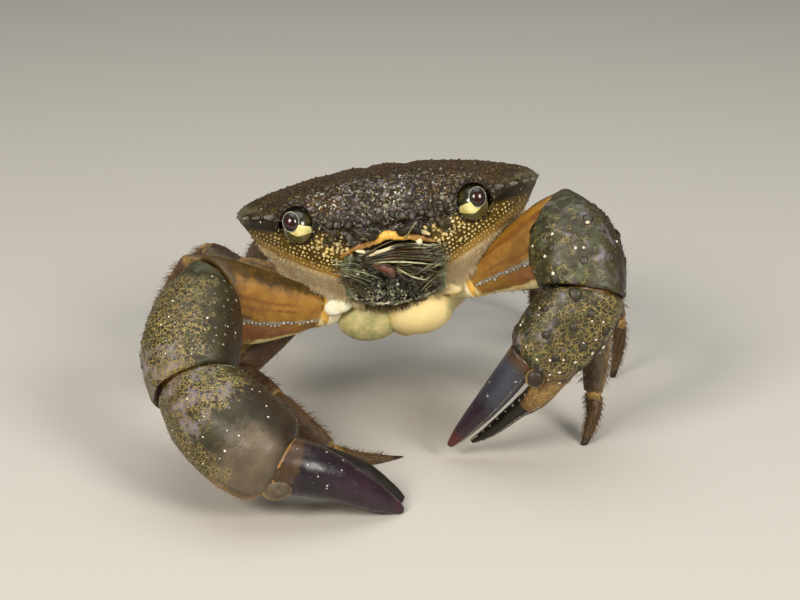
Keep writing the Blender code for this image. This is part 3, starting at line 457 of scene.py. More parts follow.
# horn-hard black tips of the claws, purple-brown in the middle and glossy from wear
fingerFinish = shellFinish("hornBlackFinger", {
    "ground": ("1a1218", "241820"), "driftMm": 6.0, "roughness": (0.28, 0.42), "bump": 0.15, "grainMm": 0.5,
    "coat": 0.12,
    "zones": (("purple", "2f1c27", "261721", 0.35), ("slate", "3a3c46", "2e2f38", 0.3),
              ("red", "5a1a14", "43130f", 0.3), ("root", "4d3722", "3b2a1b", 0.3),
              ("lilac", "4c4450", "5c5460", 0.14, 1.4), ("pale", "e2cf98", "d8be7a", 0.2)),
    "specks": ({"mm": 2.0, "size": 0.13, "share": 0.5, "colour": "b9aeb4", "zone": "speckled"},
               {"mm": 0.9, "size": 0.12, "share": 0.35, "colour": "7a7078", "zone": "speckled"}),
})
# brown cuticle of the walking legs, banded at the joints
legFinish = shellFinish("calcifiedCuticleOfLegs", {
    "ground": ("43301d", "574127"), "driftMm": 3.5, "roughness": (0.42, 0.6), "bump": 0.35, "grainMm": 0.4,
    "zones": (("dark", "2e2114", "3a2a18", 0.3), ("ashen", "6f6552", "5c5342", 0.3),
              ("pale", "94743c", "a5854a", 0.25), ("horn", "1e130c", "2a180e", 0.2)),
    "specks": ({"mm": 0.9, "size": 0.2, "share": 0.25, "colour": "76593a"},),
})
# soft skin between the shells, wet and a little see-through
membraneFinish = shellFinish("jointMembrane", {
    "ground": ("a4773a", "bd8d44"), "driftMm": 1.5, "roughness": (0.3, 0.42), "bump": 0.3, "grainMm": 0.35,
    "glow": 0.12,
    "zones": (("dark", "5a4020", "6b4c24", 0.3), ("bright", "e8bc5a", "e0ad48", 0.3)),
})
# mouthpart cuticle, dark olive with broken shiny places
mouthFinish = shellFinish("mouthCuticleDark", {
    "ground": ("191710", "2c2818"), "driftMm": 1.8, "roughness": (0.14, 0.4), "bump": 0.7, "grainMm": 0.7,
    "coat": 0.4,
    "zones": (("rust", "6a4234", "7d5648", 0.3), ("green", "7d8466", "5f654a", 0.2, 1.1),
              ("pale", "c9c4a6", "a8a07c", 0.12, 0.9)),
    "specks": ({"mm": 0.9, "size": 0.22, "share": 0.2, "colour": "c4c0ae"},),
})
# feathery branches of the mouthparts, thin and greenish white, or olive brown
shardFinish = wartFinish("brokenShell", "14120b", "c9c6b0", "8f9470", 0.18)
strandFinish = wartFinish("chitinBranches", "2b2716", "cfcda6", "8d9468", 0.25)
dullStrandFinish = wartFinish("chitinBranchesDark", "1f1a0f", "7a5c34", "4c4a30", 0.25)
eyeStalkFinish = shellFinish("eyestalkCuticle", {
    "ground": ("1d1c0e", "292712"), "driftMm": 2.0, "roughness": (0.14, 0.24), "bump": 0.06, "grainMm": 0.4,
    "coat": 0.6,
    "zones": (("olive", "47441f", "57522a", 0.3), ("cream", "e0d898", "bdb060", 0.16, 1.3)),
})
# faceted eye surface, near black with a red-brown depth
corneaFinish = shellFinish("facetedCornea", {
    "ground": ("1a1210", "241916"), "driftMm": 1.0, "roughness": (0.1, 0.16), "bump": 0.04, "grainMm": 0.15,
    "coat": 0.4,
    "zones": (("haze", "34312d", "2a2724", 0.4), ("iris", "38150e", "2d110b", 0.4)),
})
rimFinish = shellFinish("corneaRim", {
    "ground": ("8f8d7e", "7c7a6b"), "driftMm": 1.0, "roughness": (0.2, 0.3), "bump": 0.05, "grainMm": 0.3,
    "coat": 0.5,
})
feelerFinish = shellFinish("feelerCuticle", {
    "ground": ("7d7450", "958b62"), "driftMm": 1.5, "roughness": (0.3, 0.45), "bump": 0.2, "grainMm": 0.3,
    "zones": (("dark", "231e12", "302818", 0.3), ("red", "2e130e", "3a1a12", 0.3)),
})
backWarts = wartFinish("granulesOfBack", "2a2011", "655a48", "6d6a52", 0.6, 0.22)
crustWarts = wartFinish("granulesCrusted", "241b10", "6e6466", "86866c", 0.6, 0.25)
spineWarts = wartFinish("spinesOfMargin", "2b2416", "8d887a", "6f6d5c", 0.55)
cheekWarts = wartFinish("granulesOfCheek", "7d6228", "e4cf80", "efe2b2", 0.3)
limbWarts = wartFinish("granulesOfClaws", "262214", "e8e2cc", "cfc6a8", 0.45)
beadWarts = wartFinish("granulesGreyBlue", "6b5a40", "a9a8b2", "c9c4b4", 0.3)
setaeFinish = wartFinish("chitinSetae", "c9b48a", "f0e2c0", "e0c89c", 0.6)
legSetaeFinish = wartFinish("chitinSetaeOfLegs", "5a4528", "a98d5c", "8c7144", 0.55)
darkSetaeFinish = wartFinish("chitinSetaeDark", "2e2414", "6b5530", "54421f", 0.5)
print("finishes ready")


# Small models that are copied: a round granule, a finer one, an uneven lump and a spine


def granuleModel(name, segments, rings):
    model = roundBall(name, (0, 0, 0), (1, 1, 1), segments, rings)
    keepSide(model, (0, 0, -0.35), (0, 0, -1))
    return model


def spineModel(name):
    deselectAll()
    bpy.ops.mesh.primitive_cone_add(vertices=8, radius1=1, radius2=0.2, depth=1.3, location=(0, 0, 0.35))
    model = bpy.context.object
    model.name = name
    bpy.ops.object.mode_set(mode="EDIT")
    bpy.ops.mesh.select_all(action="SELECT")
    bpy.ops.mesh.bevel(offset=0.14, segments=2, affect="EDGES")
    bpy.ops.object.mode_set(mode="OBJECT")
    bpy.ops.object.transform_apply(location=True, rotation=True, scale=True)
    return model


granule = granuleModel("granule", 8, 6)
fineGranule = granuleModel("fineGranule", 6, 4)
lump = granuleModel("lump", 9, 7)
swell(lump, 0.8, 0.75)
spine = spineModel("spine")


# The body

body = {
    "halfWidth": 40.0, "rise": 3.2,
    "edgeBottom": -27.2, "edgeSlope": 0.5,  # the lower edge of the carapace, a shallow V
    "outline": [(0.0, -0.985), (0.20, -1.0), (0.38, -0.985), (0.56, -0.94), (0.725, -0.84), (0.875, -0.62),
                (0.972, -0.36), (1.0, -0.12), (0.965, 0.16), (0.85, 0.46), (0.675, 0.74), (0.46, 0.93),
                (0.22, 1.0), (0.0, 1.01)],
    # height, half width, front, rear, share of the margin's rise
    "levels": [(11.6, 0, 1, 1, 0), (11.55, 3, -3, 5, 0), (11.2, 9.6, -10, 12, 0), (10.2, 19.2, -18, 20, 0),
               (8.4, 27.6, -23.4, 26.2, 0.1), (5.7, 34.4, -26.8, 29.6, 0.4), (2.8, 38.4, -28.6, 31.3, 0.8),
               (0.5, 40, -29.2, 31.6, 1), (-1.5, 39.8, -29.2, 31.2, 1), (-3.6, 38.6, -27.4, 30.2, 1),
               (-8, 35.4, -26.4, 28.6, 0.8), (-13.5, 30.6, -23.6, 26.4, 0.6), (-19, 25.6, -20.2, 23, 0.4),
               (-24.5, 20.4, -15.8, 18, 0.2), (-29.5, 14, -9.8, 11, 0), (-32.4, 6.8, -4.8, 4.6, 0),
               (-33.6, 0, 0, 0, 0)],
    "around": 10, "down": 10,
    # furrows of the back: width, depth and the way they run, for one side
    "furrows": [(2.2, 0.6, [(0, -30), (0, -17)]), (2.6, 0.5, [(0, -17), (5, -9), (7.5, -1), (5.5, 6)]),
                (3.2, 0.8, [(29, -18), (20, -9), (12, -3), (7.5, -1)]),
                (2.6, 0.7, [(5.5, 6), (4, 12), (8.5, 20)]), (3.0, 0.5, [(-6, 6.5), (6, 6.5)]),
                (4.0, 0.6, [(9, 4), (20, 6), (31, 1)]), (2.4, 0.6, [(16, -27), (15, -20), (20, -9)])],
}
orbit = {"centre": (22.5, -26.0, 0.3), "radius": 4.7}  # the crab's left one
mouth = {"centre": (0.0, -25.4, -15.6), "radii": (12.6, 5.2, 9.6), "tilt": -28.0}


def marginRise(x):
    # how much higher than in the middle the margin of the carapace lies
    return body["rise"] * (x / body["halfWidth"]) ** 2


def bodyShell(name):
    outline = np.array(body["outline"] + [(-x, y) for x, y in reversed(body["outline"][1:-1])])
    loop = [smoothSpan(*(outline[(i + k) % len(outline)] for k in (-1, 0, 1, 2)), body["around"])
            for i in range(len(outline))]
    across, along = np.vstack(loop).T
    rings = []
    for height, half, front, rear, rise in smoothRun(body["levels"], body["down"]):
        lift = rise * body["rise"] * across ** 2
        rings.append(np.stack([max(half, 0) * across, (front + rear) / 2 + max(rear - front, 0) / 2 * along,
                               height + lift], axis=1))
    shell = wrapShell(name, rings)
    coords, normals = coordsOf(shell), normalsOf(shell)
    flat = coords[:, :2].copy()
    flat[:, 0] = np.abs(flat[:, 0])
    depth = np.zeros(len(coords))
    for width, deep, way in body["furrows"]:
        depth += deep * np.exp(-(farFrom(flat, way) / width) ** 2)
    depth *= ramp(coords[:, 2] - marginRise(coords[:, 0]), 0.5, 4.0)
    setCoords(shell, coords - normals * depth[:, None])
    return shell


def orbitBall(side):
    return roundBall("orbitBall", *onSide(side, [orbit["centre"]]), (orbit["radius"],) * 3, 48, 32)


def mouthBall():
    return roundBall("mouthBall", mouth["centre"], mouth["radii"], 64, 40, mouth["tilt"], "X")


whole = bodyShell("sternumPlates")
swell(whole, 9.0, 0.5)
makeActive(whole)
bpy.ops.object.duplicate()
carapace = bpy.context.object
carapace.name = carapace.data.name = "carapaceShell"
for side in (-1, 1):
    keepSide(carapace, (0, 0, body["edgeBottom"]), (side * body["edgeSlope"], 0, -1))
carve(carapace, mouthBall())
for side in (-1, 1):
    carve(carapace, orbitBall(side))

# the part under the edge is what a tall wedge leaves
deselectAll()
bpy.ops.mesh.primitive_cube_add(size=1)
wedge = bpy.context.object
bottom, tall = body["edgeBottom"] - 0.3, 90
wedge.data.transform(Matrix.Translation((0, 0, bottom + tall / 2)) @ Matrix.Diagonal((120, 120, tall, 1)))
for side in (1, -1):
    keepSide(wedge, (0, 0, bottom), (side * body["edgeSlope"], 0, -1))
carve(whole, wedge)
carve(whole, mouthBall())
bodySurface = surfaceOf(carapace)

spots = coordsOf(carapace)
x, y, z = spots.T
wide = np.abs(x)
marginZ = 0.2 + marginRise(x)
above = z - (body["edgeBottom"] + body["edgeSlope"] * wide)  # height over the lower edge
front = ramp(-y, 4, 14)
centre = ramp(12.5 - wide, 0, 4) * ramp(-y, 14, 20)  # the dark, crusted middle of the front
paint(carapace, "cheek", ramp(marginZ - z, 1.2, 4.2) * front * (1 - centre * ramp(z, -13, -8)))
paint(carapace, "ochre", ramp(8.5 - above, 0, 2.5) * front * 0.9)
paint(carapace, "plush", ramp(5.6 - above, 0, 1.6) * ramp(-y, 0, 8))
paint(carapace, "sooty",
      np.maximum(centre * ramp(z, -13, -8),
                 ramp(3.2 - np.abs(z - marginZ + 0.6), 0, 2) * ramp(-y, 10, 18) * 0.8))
paint(carapace, "ruddy", ramp(y, -24, -8) * ramp(26 - wide, 0, 12) * 0.62)
paint(carapace, "moss", ramp(wide, 26, 36) * ramp(3.4 - np.abs(z - marginZ - 0.6), 0, 2.4) * 0.7)
brow = ramp(-y, 17, 23) * ramp(z - marginZ, -7.0, -4.5) * ramp(30 - wide, 0, 8)
paint(carapace, "lilac", brow * (0.32 + 0.1 * ramp(14 - wide, 0, 8)))
paint(carapace, "lichen", brow * (0.3 + 0.08 * ramp(14 - wide, 0, 8)))
paint(carapace, "crust",
      brow * 0.355 + 0.24 * ramp(wide, 24, 34) * ramp(-y, 12, 18) * ramp(z - marginZ, -3, -1))
paint(carapace, "golden", ramp(z - marginZ, -1.0, 1.5))
# painted shade: each orbit round its eye is darkened, most at the top where the brow overhangs it
socketShade = np.zeros(len(spots))
for side in (-1, 1):
    away = np.linalg.norm(spots - onSide(side, [orbit["centre"]]), axis=1)
    socketShade = np.maximum(socketShade, ramp(5.3 - away, 0, 0.6) * (0.35 + 0.65 * ramp(z, -1, 2)))
paint(carapace, "socketShade", socketShade)
place(carapace, bodyPlace, carapaceFinish, ["carapace"])

spots = coordsOf(whole)
paint(whole, "green", ramp(np.abs(spots[:, 0]), 8, 20) * 0.6)
paint(whole, "brown", ramp(spots[:, 1], 4, 14))
place(whole, bodyPlace, creamFinish, ["sternum"])

# the two swollen pale halves under the mouth
lobes = {
    "creamLobeL": {"centre": (4.6, -12.6, -26.8), "radii": (9.4, 7.2, 6.6), "green": 0.0},
    # the right lobe is greener and darker overall as painted shade, for the shadow that lies over it
    "creamLobeR": {"centre": (-8.4, -10.6, -27.4), "radii": (8.8, 7.0, 6.4), "green": 0.85},
}
for name, plan in lobes.items():
    lobe = roundBall(name, plan["centre"], plan["radii"], 72, 48)
    spots = coordsOf(lobe)
    rim = ramp(spots[:, 2], plan["centre"][2] + 2.5, plan["centre"][2] + 5.5)
    sideways = ramp(np.abs(spots[:, 0] - plan["centre"][0]), 6.0, 9.5)
    # green towards each lobe's top and sides; the plan's overall green on the right lobe is painted shade
    paint(lobe, "green", np.maximum(plan["green"] * 0.8, np.maximum(rim, sideways) * 0.8))
    place(lobe, bodyPlace, creamFinish, ())

# the narrow tail flap, folded forward under the breast
abdomen = {
    "spine": [(0, 27.6, -8.0), (0, 24.6, -17.5), (0, 18.6, -25.2), (0, 11.4, -30.6), (0, 6.6, -32.6),
              (0, 2.8, -33.1)],
    "widths": (11.4, 11.0, 10.0, 8.6, 7.0, 5.0, 2.4), "thick": 2.8, "plates": 6,
}
path = smoothRun(abdomen["spine"], 16)
ahead = unit(np.gradient(path, axis=0))
outward = np.cross([1.0, 0, 0], ahead)
outward *= -np.sign(outward[:, 2:3] + 1e-9)
angles = np.linspace(0, math.tau, 48, endpoint=False)
rings = []
for i, point in enumerate(path):
    share = i / (len(path) - 1)
    half = np.interp(share * (len(abdomen["widths"]) - 1), range(len(abdomen["widths"])), abdomen["widths"])
    seam = abs((share * abdomen["plates"]) % 1 - 0.5) * 2  # 1 at each plate's edge
    thick = abdomen["thick"] * (1 - 0.22 * seam ** 6)
    rings.append(point + np.outer(np.cos(angles) * half * (1 - 0.02 * seam ** 4), (1, 0, 0))
                 + np.outer(np.sin(angles) * thick, outward[i]))
rings = [np.repeat(path[:1], 48, axis=0)] + rings + [np.repeat(path[-1:], 48, axis=0)]
flap = wrapShell("tailFlap", rings)
paint(flap, "green", ramp(coordsOf(flap)[:, 2], -30, -18) * 0.7)
paint(flap, "brown", ramp(coordsOf(flap)[:, 2], -22, -10))
place(flap, bodyPlace, creamFinish, ["abdomen"])
print("body made")


# Eyes

eye = {
    "globe": {"centre": (22.2, -25.9, -0.3), "radii": (3.95, 3.9, 4.3)},
    # the cornea looks outward and up from the globe
    "cornea": {"centre": (23.6, -28.75, 1.25), "radii": (2.15, 1.55, 2.55), "looks": (0.2, -0.95, 0.2)},
    "rimThick": 0.24,
}
for side, tag in ((-1, "R"), (1, "L")):
    cx, cy, cz = eye["cornea"]["centre"]
    lx, ly, lz = eye["cornea"]["looks"]
    looks = Vector((side * lx, ly, lz)).normalized()
    upward = (Vector((side * 0.1, 0, 1)) - looks * looks.dot(Vector((side * 0.1, 0, 1)))).normalized()
    aside = (-looks).cross(upward)
    facing = Matrix((aside, -looks, upward)).transposed().to_4x4()
    gx, gy, gz = eye["globe"]["centre"]
    globe = roundBall(f"eyeStalk{tag}", (side * gx, gy, gz), eye["globe"]["radii"], 120, 90)
    spots = coordsOf(globe) - (side * cx, cy, cz)
    rx, ry, rz = eye["cornea"]["radii"]
    u, w = side * (spots @ np.array(aside)), spots @ np.array(upward)
    reach = np.hypot(u / rx, w / rz)
    facingFront = spots[:, 1] < 3.0
    low = -3.95 + np.where(u > -1.4, 0.3, 0.1) * (u + 1.4) ** 2  # the crescent's lower edge
    high = -1.15 + 0.42 * np.minimum(u + 1.9, 0)  # and its upper edge on the inner side
    crescent = ramp(w - low, -0.15, 0.15) * ramp(high - w, -0.75, 0.45) * ramp(reach, 0.9, 1.0) * facingFront
    paint(globe, "cream", crescent)
    bowl = ramp(low - w, -0.1, 0.3)
    paint(globe, "olive", np.maximum(bowl * 0.95, 0.5 * ramp(-u, 2.2, 4.0) * ramp(w, -3, 0)))
    place(globe, bodyPlace, eyeStalkFinish, [f"eyestalk_{tag}"])
    cornea = roundBall(f"cornea{tag}", (0, 0, 0), (rx, ry, rz), 64, 48)
    spots = coordsOf(cornea)
    middle = np.hypot(spots[:, 0] / 1.2, (spots[:, 2] + 0.1) / 1.7)
    paint(cornea, "iris", (1 - ramp(middle, 0.5, 1.0)) * (spots[:, 1] < 0) * 0.85)
    paint(cornea, "haze", ramp(middle, 1.0, 1.3) * 0.8)
    onEye = Matrix.Translation((side * cx, cy, cz)) @ facing
    cornea.data.transform(onEye)
    place(cornea, bodyPlace, corneaFinish, [f"eye_{tag}"])
    # the thin grey line round the cornea
    deselectAll()
    bpy.ops.mesh.primitive_torus_add(major_segments=64, minor_segments=10, major_radius=1,
                                     minor_radius=eye["rimThick"] / 2 / rx)
    rim = bpy.context.object
    rim.name = rim.data.name = f"corneaRim{tag}"
    inRim = Matrix.Diagonal((rx * 0.99, rx, rz * 0.99, 1)) @ Matrix.Rotation(math.pi / 2, 4, "X")
    rim.data.transform(onEye @ Matrix.Translation((0, -0.25, 0)) @ inRim)
    rim.data.update()
    place(rim, bodyPlace, rimFinish, ())
print("eyes made")


# Feelers, the ridge over the mouth and the mouthparts

feelers = {
    "antenna": {"points": [(15.2, -24.0, -4.6), (14.6, -30.0, -4.6), (12.8, -31.4, -2.6)],
                "radii": (1.2, 1.1, 0.7), "dark": 0.8},
    "antennaWhip": {"points": [(12.9, -31.2, -2.8), (12.5, -31.6, 0.6), (12.6, -32.2, 4.4),
                               (12.4, -33.2, 8.0)],
                    "radii": (0.5, 0.36, 0.28, 0.14), "dark": 1.0},
    "antennule": {"points": [(2.6, -24.0, -4.4), (3.6, -29.2, -4.9), (6.2, -30.6, -4.0),
                             (8.2, -30.2, -5.2)],
                  "radii": (1.0, 1.15, 0.95, 0.55), "dark": 1.0},
    "antennuleWhip": {"points": [(4.6, -29.8, -6.6), (5.6, -31.0, -5.0), (6.8, -31.6, -3.6),
                                 (7.8, -31.9, -2.6)],
                      "radii": (0.24, 0.2, 0.16, 0.1), "dark": 0.0},
}
for side, tag in ((-1, "R"), (1, "L")):
    for name, plan in feelers.items():
        points = plan["points"]
        if name == "antennaWhip" and side < 0:  # this one lies aside, along the orbit
            points = [(12.9, -31.2, -2.8), (14.2, -31.3, -2.2), (15.6, -30.8, -1.0), (16.8, -30.2, 0.8)]
        feeler = tubeShell(f"{name}{tag}", onSide(side, points), plan["radii"], 14, 10)
        swell(feeler, 1.0, 0.25 * plan["radii"][0])
        paint(feeler, "dark", plan["dark"] or 0.6 * (side < 0))
        node = {"antenna": [f"antenna_{tag}"], "antennule": [f"antennule_{tag}"]}.get(name, ())
        place(feeler, bodyPlace, feelerFinish, node)

ridge = {
    "points": [(-12.5, -25.9, -9.4), (-8.5, -26.6, -7.6), (-4.0, -27.4, -6.7), (-0.4, -28.3, -5.3),
               (3.6, -28.2, -6.0), (7.6, -27.1, -7.0), (11.6, -26.2, -8.6)],
    "radii": (0.4, 0.6, 0.75, 1.15, 1.0, 0.7, 0.4),
}
epistome = tubeShell("epistomeRidge", ridge["points"], ridge["radii"], 24, 24)
swell(epistome, 1.2, 0.6)
spots = coordsOf(epistome)
paint(epistome, "dark", 0.2 + ramp(np.abs(spots[:, 0] - 1.2), 5.0, 9.0) * 0.3)
paint(epistome, "bright", ramp(7.0 - np.abs(spots[:, 0] - 1.2), 0, 4) * 0.75)
place(epistome, bodyPlace, membraneFinish, ())

pads = {
    "creamPad1": {"centre": (-7.4, -26.7, -8.6), "radii": (1.5, 0.7, 0.5), "turn": 18},
    "creamPad2": {"centre": (7.6, -27.2, -8.0), "radii": (0.85, 0.6, 1.1), "turn": 24},
    "creamPad3": {"centre": (5.2, -28.6, -4.6), "radii": (1.5, 0.5, 0.5), "turn": -35},
    "creamPad4": {"centre": (-6.0, -27.8, -5.0), "radii": (1.7, 0.5, 0.55), "turn": 20},
    "creamPad5": {"centre": (9.6, -27.4, -6.0), "radii": (1.3, 0.5, 0.55), "turn": 30},
}
for name, plan in pads.items():
    pad = roundBall(name, plan["centre"], plan["radii"], 28, 16, plan["turn"])
    swell(pad, 0.9, 0.45)
    paint(pad, "bright", 0.42)
    paint(pad, "green", ramp(np.abs(coordsOf(pad)[:, 0] - plan["centre"][0]), 0.4, 1.4) * 0.6)
    place(pad, bodyPlace, creamFinish, ())
wedgePad = tubeShell("creamWedge",
                     [(-6.0, -26.8, -10.2), (-3.0, -27.7, -9.3), (0.0, -28.3, -8.7), (2.4, -28.2, -8.3)],
                     (0.25, 0.8, 0.65, 0.2), 18, 12, 0.7)
swell(wedgePad, 1.0, 0.4)
paint(wedgePad, "bright", 0.4)
paint(wedgePad, "green", 0.45)
place(wedgePad, bodyPlace, creamFinish, ())

tilt = math.radians(mouth["tilt"])
face = (0, -math.cos(tilt), -math.sin(tilt))
plates = {
    "lower": {"points": [(3.6, -16.6, -23.6), (4.8, -19.6, -19.4), (5.2, -21.8, -15.2)],
              "radii": (2.6, 4.4, 4.9, 4.3), "flatten": 0.5},
    "upper": {"points": [(5.3, -22.2, -14.9), (5.9, -23.6, -12.4), (6.2, -24.8, -9.6)],
              "radii": (4.2, 5.0, 4.6, 3.0), "flatten": 0.5},
    "outer": {"points": [(10.6, -18.8, -21.0), (11.4, -23.0, -14.0), (10.4, -25.6, -9.6)],
              "radii": (2.0, 2.2, 1.4), "flatten": 0.6},
    "middle": {"points": [(0.9, -18.0, -23.4), (1.0, -22.0, -18.0), (1.0, -24.6, -12.6),
                          (1.0, -26.0, -9.8)],
               "radii": (1.6, 1.9, 1.8, 1.2), "flatten": 0.7},
}
mouthSurfaces = [bodySurface]
for side, tag in ((-1, "R"), (1, "L")):
    for name, plan in plates.items():
        plate = tubeShell(f"mouthPlate_{name}{tag}", onSide(side, plan["points"]), plan["radii"], 48, 18,
                          plan["flatten"], face)
        swell(plate, 1.8, 1.1)
        spots = coordsOf(plate)
        paint(plate, "green", 0.36 + ramp(np.abs(spots[:, 0]), 9.0, 12.0) * 0.3)
        paint(plate, "rust",
              ramp(spots[:, 2], -13.5, -11.0) * ramp(7 - np.abs(spots[:, 0] + 1), 0, 3) * 0.6)
        paint(plate, "pale",
              0.3 + ramp(-spots[:, 2], 17.5, 21.5) * ramp(6 - np.abs(spots[:, 0] + 4), 0, 4) * 0.22)
        mouthSurfaces.append(surfaceOf(plate))
        place(plate, bodyPlace, mouthFinish, [f"maxilliped_{tag}"] if name == "lower" else ())
knob = tubeShell("mouthPalp",
                 [(-4.6, -26.0, -12.6), (-2.4, -26.9, -13.2), (-0.8, -26.8, -14.2), (-0.2, -25.6, -15.4)],
                 (0.8, 1.3, 1.6, 1.2), 32, 12, 0.9)
swell(knob, 1.5, 0.3)
paint(knob, "rust", 0.6)
place(knob, bodyPlace, mouthFinish, ())


def mouthHit(px, pz):
    # the foremost mouthpart or shell at a place of the front
    best = None
    for surface in mouthSurfaces:
        hit, normal, _, _ = surface.ray_cast(Vector((px, -60, pz)), Vector((0, 1, 0)))
        if hit is not None and (best is None or hit.y < best[0].y):
            best = (hit, normal)
    return best


# Branches of the mouthparts: long ones lie sideways across the top, fans spread at both sides.
# Each bundle is: count, start, middle, end, spread at the start and end, radius, share of dull ones.
bundles = {
    "top": (30, (-7.0, -26.6, -11.4), (2.5, -28.2, -10.8), (12.2, -26.4, -13.2), (0.8, 1.7), 0.22, 0.6),
    "crown": (14, (-4.5, -27.3, -10.2), (2.0, -28.3, -9.2), (8.6, -27.4, -10.2), (0.5, 0.9), 0.24, 0.45),
    "leftFan": (18, (-14.4, -24.9, -12.2), (-9.8, -26.0, -13.6), (-6.0, -25.8, -15.6), (1.1, 1.9), 0.12,
                0.45),
    "leftFoot": (12, (-14.0, -23.6, -15.2), (-10.0, -24.9, -16.8), (-7.6, -23.8, -19.0), (0.8, 1.4), 0.12,
                 0.6),
    "rightFan": (24, (14.2, -25.6, -12.0), (10.4, -26.5, -13.2), (7.2, -26.2, -14.4), (1.3, 1.7), 0.12,
                 0.5),
    "rightFoot": (14, (13.4, -23.9, -16.0), (9.6, -24.5, -17.6), (6.2, -23.4, -20.0), (0.9, 1.5), 0.15,
                  0.8),
    "centre": (16, (1.0, -26.8, -13.6), (4.0, -26.4, -15.4), (7.6, -25.0, -17.0), (1.2, 2.2), 0.2, 0.8),
}
pale, dull = [], []
for count, first, middle, last, (nearSpread, farSpread), radius, dullShare in bundles.values():
    for i in range(count):
        lean = draw.normal(size=3) * [0.6, 0.35, 1.0]
        bow = draw.normal(size=3) * [0.5, 0.3, 0.6]
        points = np.array([np.add(first, lean * nearSpread),
                           np.add(middle, (lean + bow) * (nearSpread + farSpread) / 2),
                           np.add(last, (lean + bow * 0.6) * farSpread)])
        thick = radius * draw.uniform(0.6, 1.7)
        branch = tubeShell("branch", points, (0.55 * thick, thick, 0.28 * thick), 7, 6)
        paint(branch, "tip", 1.0)
        paint(branch, "shade", draw.uniform(0.1, 1.0) ** 1.6)
        (dull if draw.uniform() < dullShare else pale).append(branch)
for name, strands, finish in (("mouthBranches", pale, strandFinish),
                              ("mouthBranchesDark", dull, dullStrandFinish)):
    makeActive(strands[0])
    for branch in strands:
        branch.select_set(True)
    bpy.ops.object.join()
    strands[0].name = strands[0].data.name = name
    place(strands[0], bodyPlace, finish, ())

# the soft strip under the mouth, and the white plates at the claw bases
lip = [(-12.4, -20.8, -20.2), (-8.0, -20.4, -22.2), (-2.0, -20.2, -23.4), (4.0, -20.0, -23.2),
       (9.0, -21.0, -22.0), (12.2, -21.8, -20.0)]
strip = tubeShell("mouthLip", lip, (0.3, 0.5, 0.65, 0.5, 0.5, 0.3), 32, 24, 0.8)
swell(strip, 1.1, 0.9)
paint(strip, "green", 0.4)
paint(strip, "pale", 0.42)
place(strip, bodyPlace, mouthFinish, ())
basePlates = {
    "basePlateR": {"centre": (-15.7, -17.4, -22.6), "radii": (3.9, 1.5, 2.3), "turn": -12, "bright": 0.6},
    "basePlateL": {"centre": (14.1, -17.2, -21.8), "radii": (2.7, 1.4, 1.9), "turn": 14, "bright": 0.2},
}
for name, plan in basePlates.items():
    plate = roundBall(name, plan["centre"], plan["radii"], 48, 32, plan["turn"])
    swell(plate, 3.0, 0.5)
    paint(plate, "bright", plan["bright"])
    place(plate, bodyPlace, creamFinish, ())
print("mouth made")


# Limbs

frames, surfaces = {}, {}
limbEnds = {
    "gap": 0.15, "steps": 6,  # half the gap between two segments, and the rows of a rounded edge
    "power": 2.3,  # of the outline, between an ellipse and a box
    # the hollow of the far end: how deep each row lies and how much narrower it is, then its floor
    "hollow": ((0.6, 1.9), (2.0, 2.6)), "floor": 2.4,
}


def limbShell(name, joints, up, stations, rows, sides, nearRound=1.4, farRound=0.9, farInset=True):
    # joints are: before, start, end, after. Each station is: share of the length, half width,
    # half height, shift across and shift up. The ends follow the joints' own planes.
    before, start, end, after = (np.asarray(j, float) for j in joints)
    axis = unit(end - start)
    length = np.linalg.norm(end - start)
    across = unit(np.cross(axis, up))
    over = np.cross(across, axis)
    nearPlane = unit(unit(start - before) + axis)
    farPlane = unit(axis + unit(after - end))
    table = smoothRun(stations, 12)
    angles = np.linspace(0, math.tau, sides, endpoint=False)
    ux, uz = (np.sign(turned) * np.abs(turned) ** (2 / limbEnds["power"])
              for turned in (np.cos(angles), np.sin(angles)))
    gap = limbEnds["gap"] / length
    width = np.interp((0, 1), table[:, 0], (table[:, 1] + table[:, 2]) / 2)
    turns = [(1 - math.cos(turn), 1 - math.sin(turn))
             for turn in np.arange(limbEnds["steps"]) * math.pi / 2 / (limbEnds["steps"] - 1)]
    plan = [(gap, 0.0), (gap, 0.4)]
    plan += [(gap + nearRound / length * inward, 1 - nearRound / width[0] * less) for inward, less in turns]
    straight = np.linspace(gap + nearRound / length, 1 - gap - farRound / length, rows)
    plan += [(share, 1.0) for share in straight[1:-1]]
    plan += [(1 - gap - farRound / length * inward, 1 - farRound / width[1] * less)
             for inward, less in reversed(turns)]
    if farInset:
        plan += [(1 - gap - depth / length, 1 - less / width[1]) for depth, less in limbEnds["hollow"]]
        floor = 1 - gap - limbEnds["floor"] / length
        plan += [(floor, 0.3), (floor, 0.0)]
    else:
        plan += [(1 - gap, 0.4), (1 - gap, 0.0)]
    rings = []
    for share, factor in plan:
        true = np.full(sides, share)
        for _ in range(5):
            wide, tall, aside, lift = (np.interp(true, table[:, 0], table[:, k]) for k in (1, 2, 3, 4))
            px, pz = ux * wide * factor + aside, uz * tall * factor + lift
            shifts = [-(px * (across @ plane) + pz * (over @ plane)) / (axis @ plane)
                      for plane in (nearPlane, farPlane)]
            true = share + ((1 - share) * shifts[0] + share * shifts[1]) / length
        rings.append(start + np.outer(true * length, axis) + np.outer(px, across) + np.outer(pz, over))
    piece = wrapShell(name, rings)
    frames[name] = {"start": start, "axis": axis, "across": across, "over": over, "length": length,
                    "table": table}
    return piece


def limbPlaces(name, coords):
    # how far along a limb each point is, and its angle round it in degrees, 90 on the upper side
    f = frames[name]
    local = coords - f["start"]
    share = local @ f["axis"] / f["length"]
    aside, lift = (np.interp(share, f["table"][:, 0], f["table"][:, k]) for k in (3, 4))
    angle = np.degrees(np.arctan2(local @ f["over"] - lift, local @ f["across"] - aside))
    return share, angle


def near(angle, middle, half):
    # 1 at the middle angle, falling to 0 at half away
    away = np.abs((angle - middle + 180) % 360 - 180)
    return 1 - ramp(away, 0.35 * half, half)


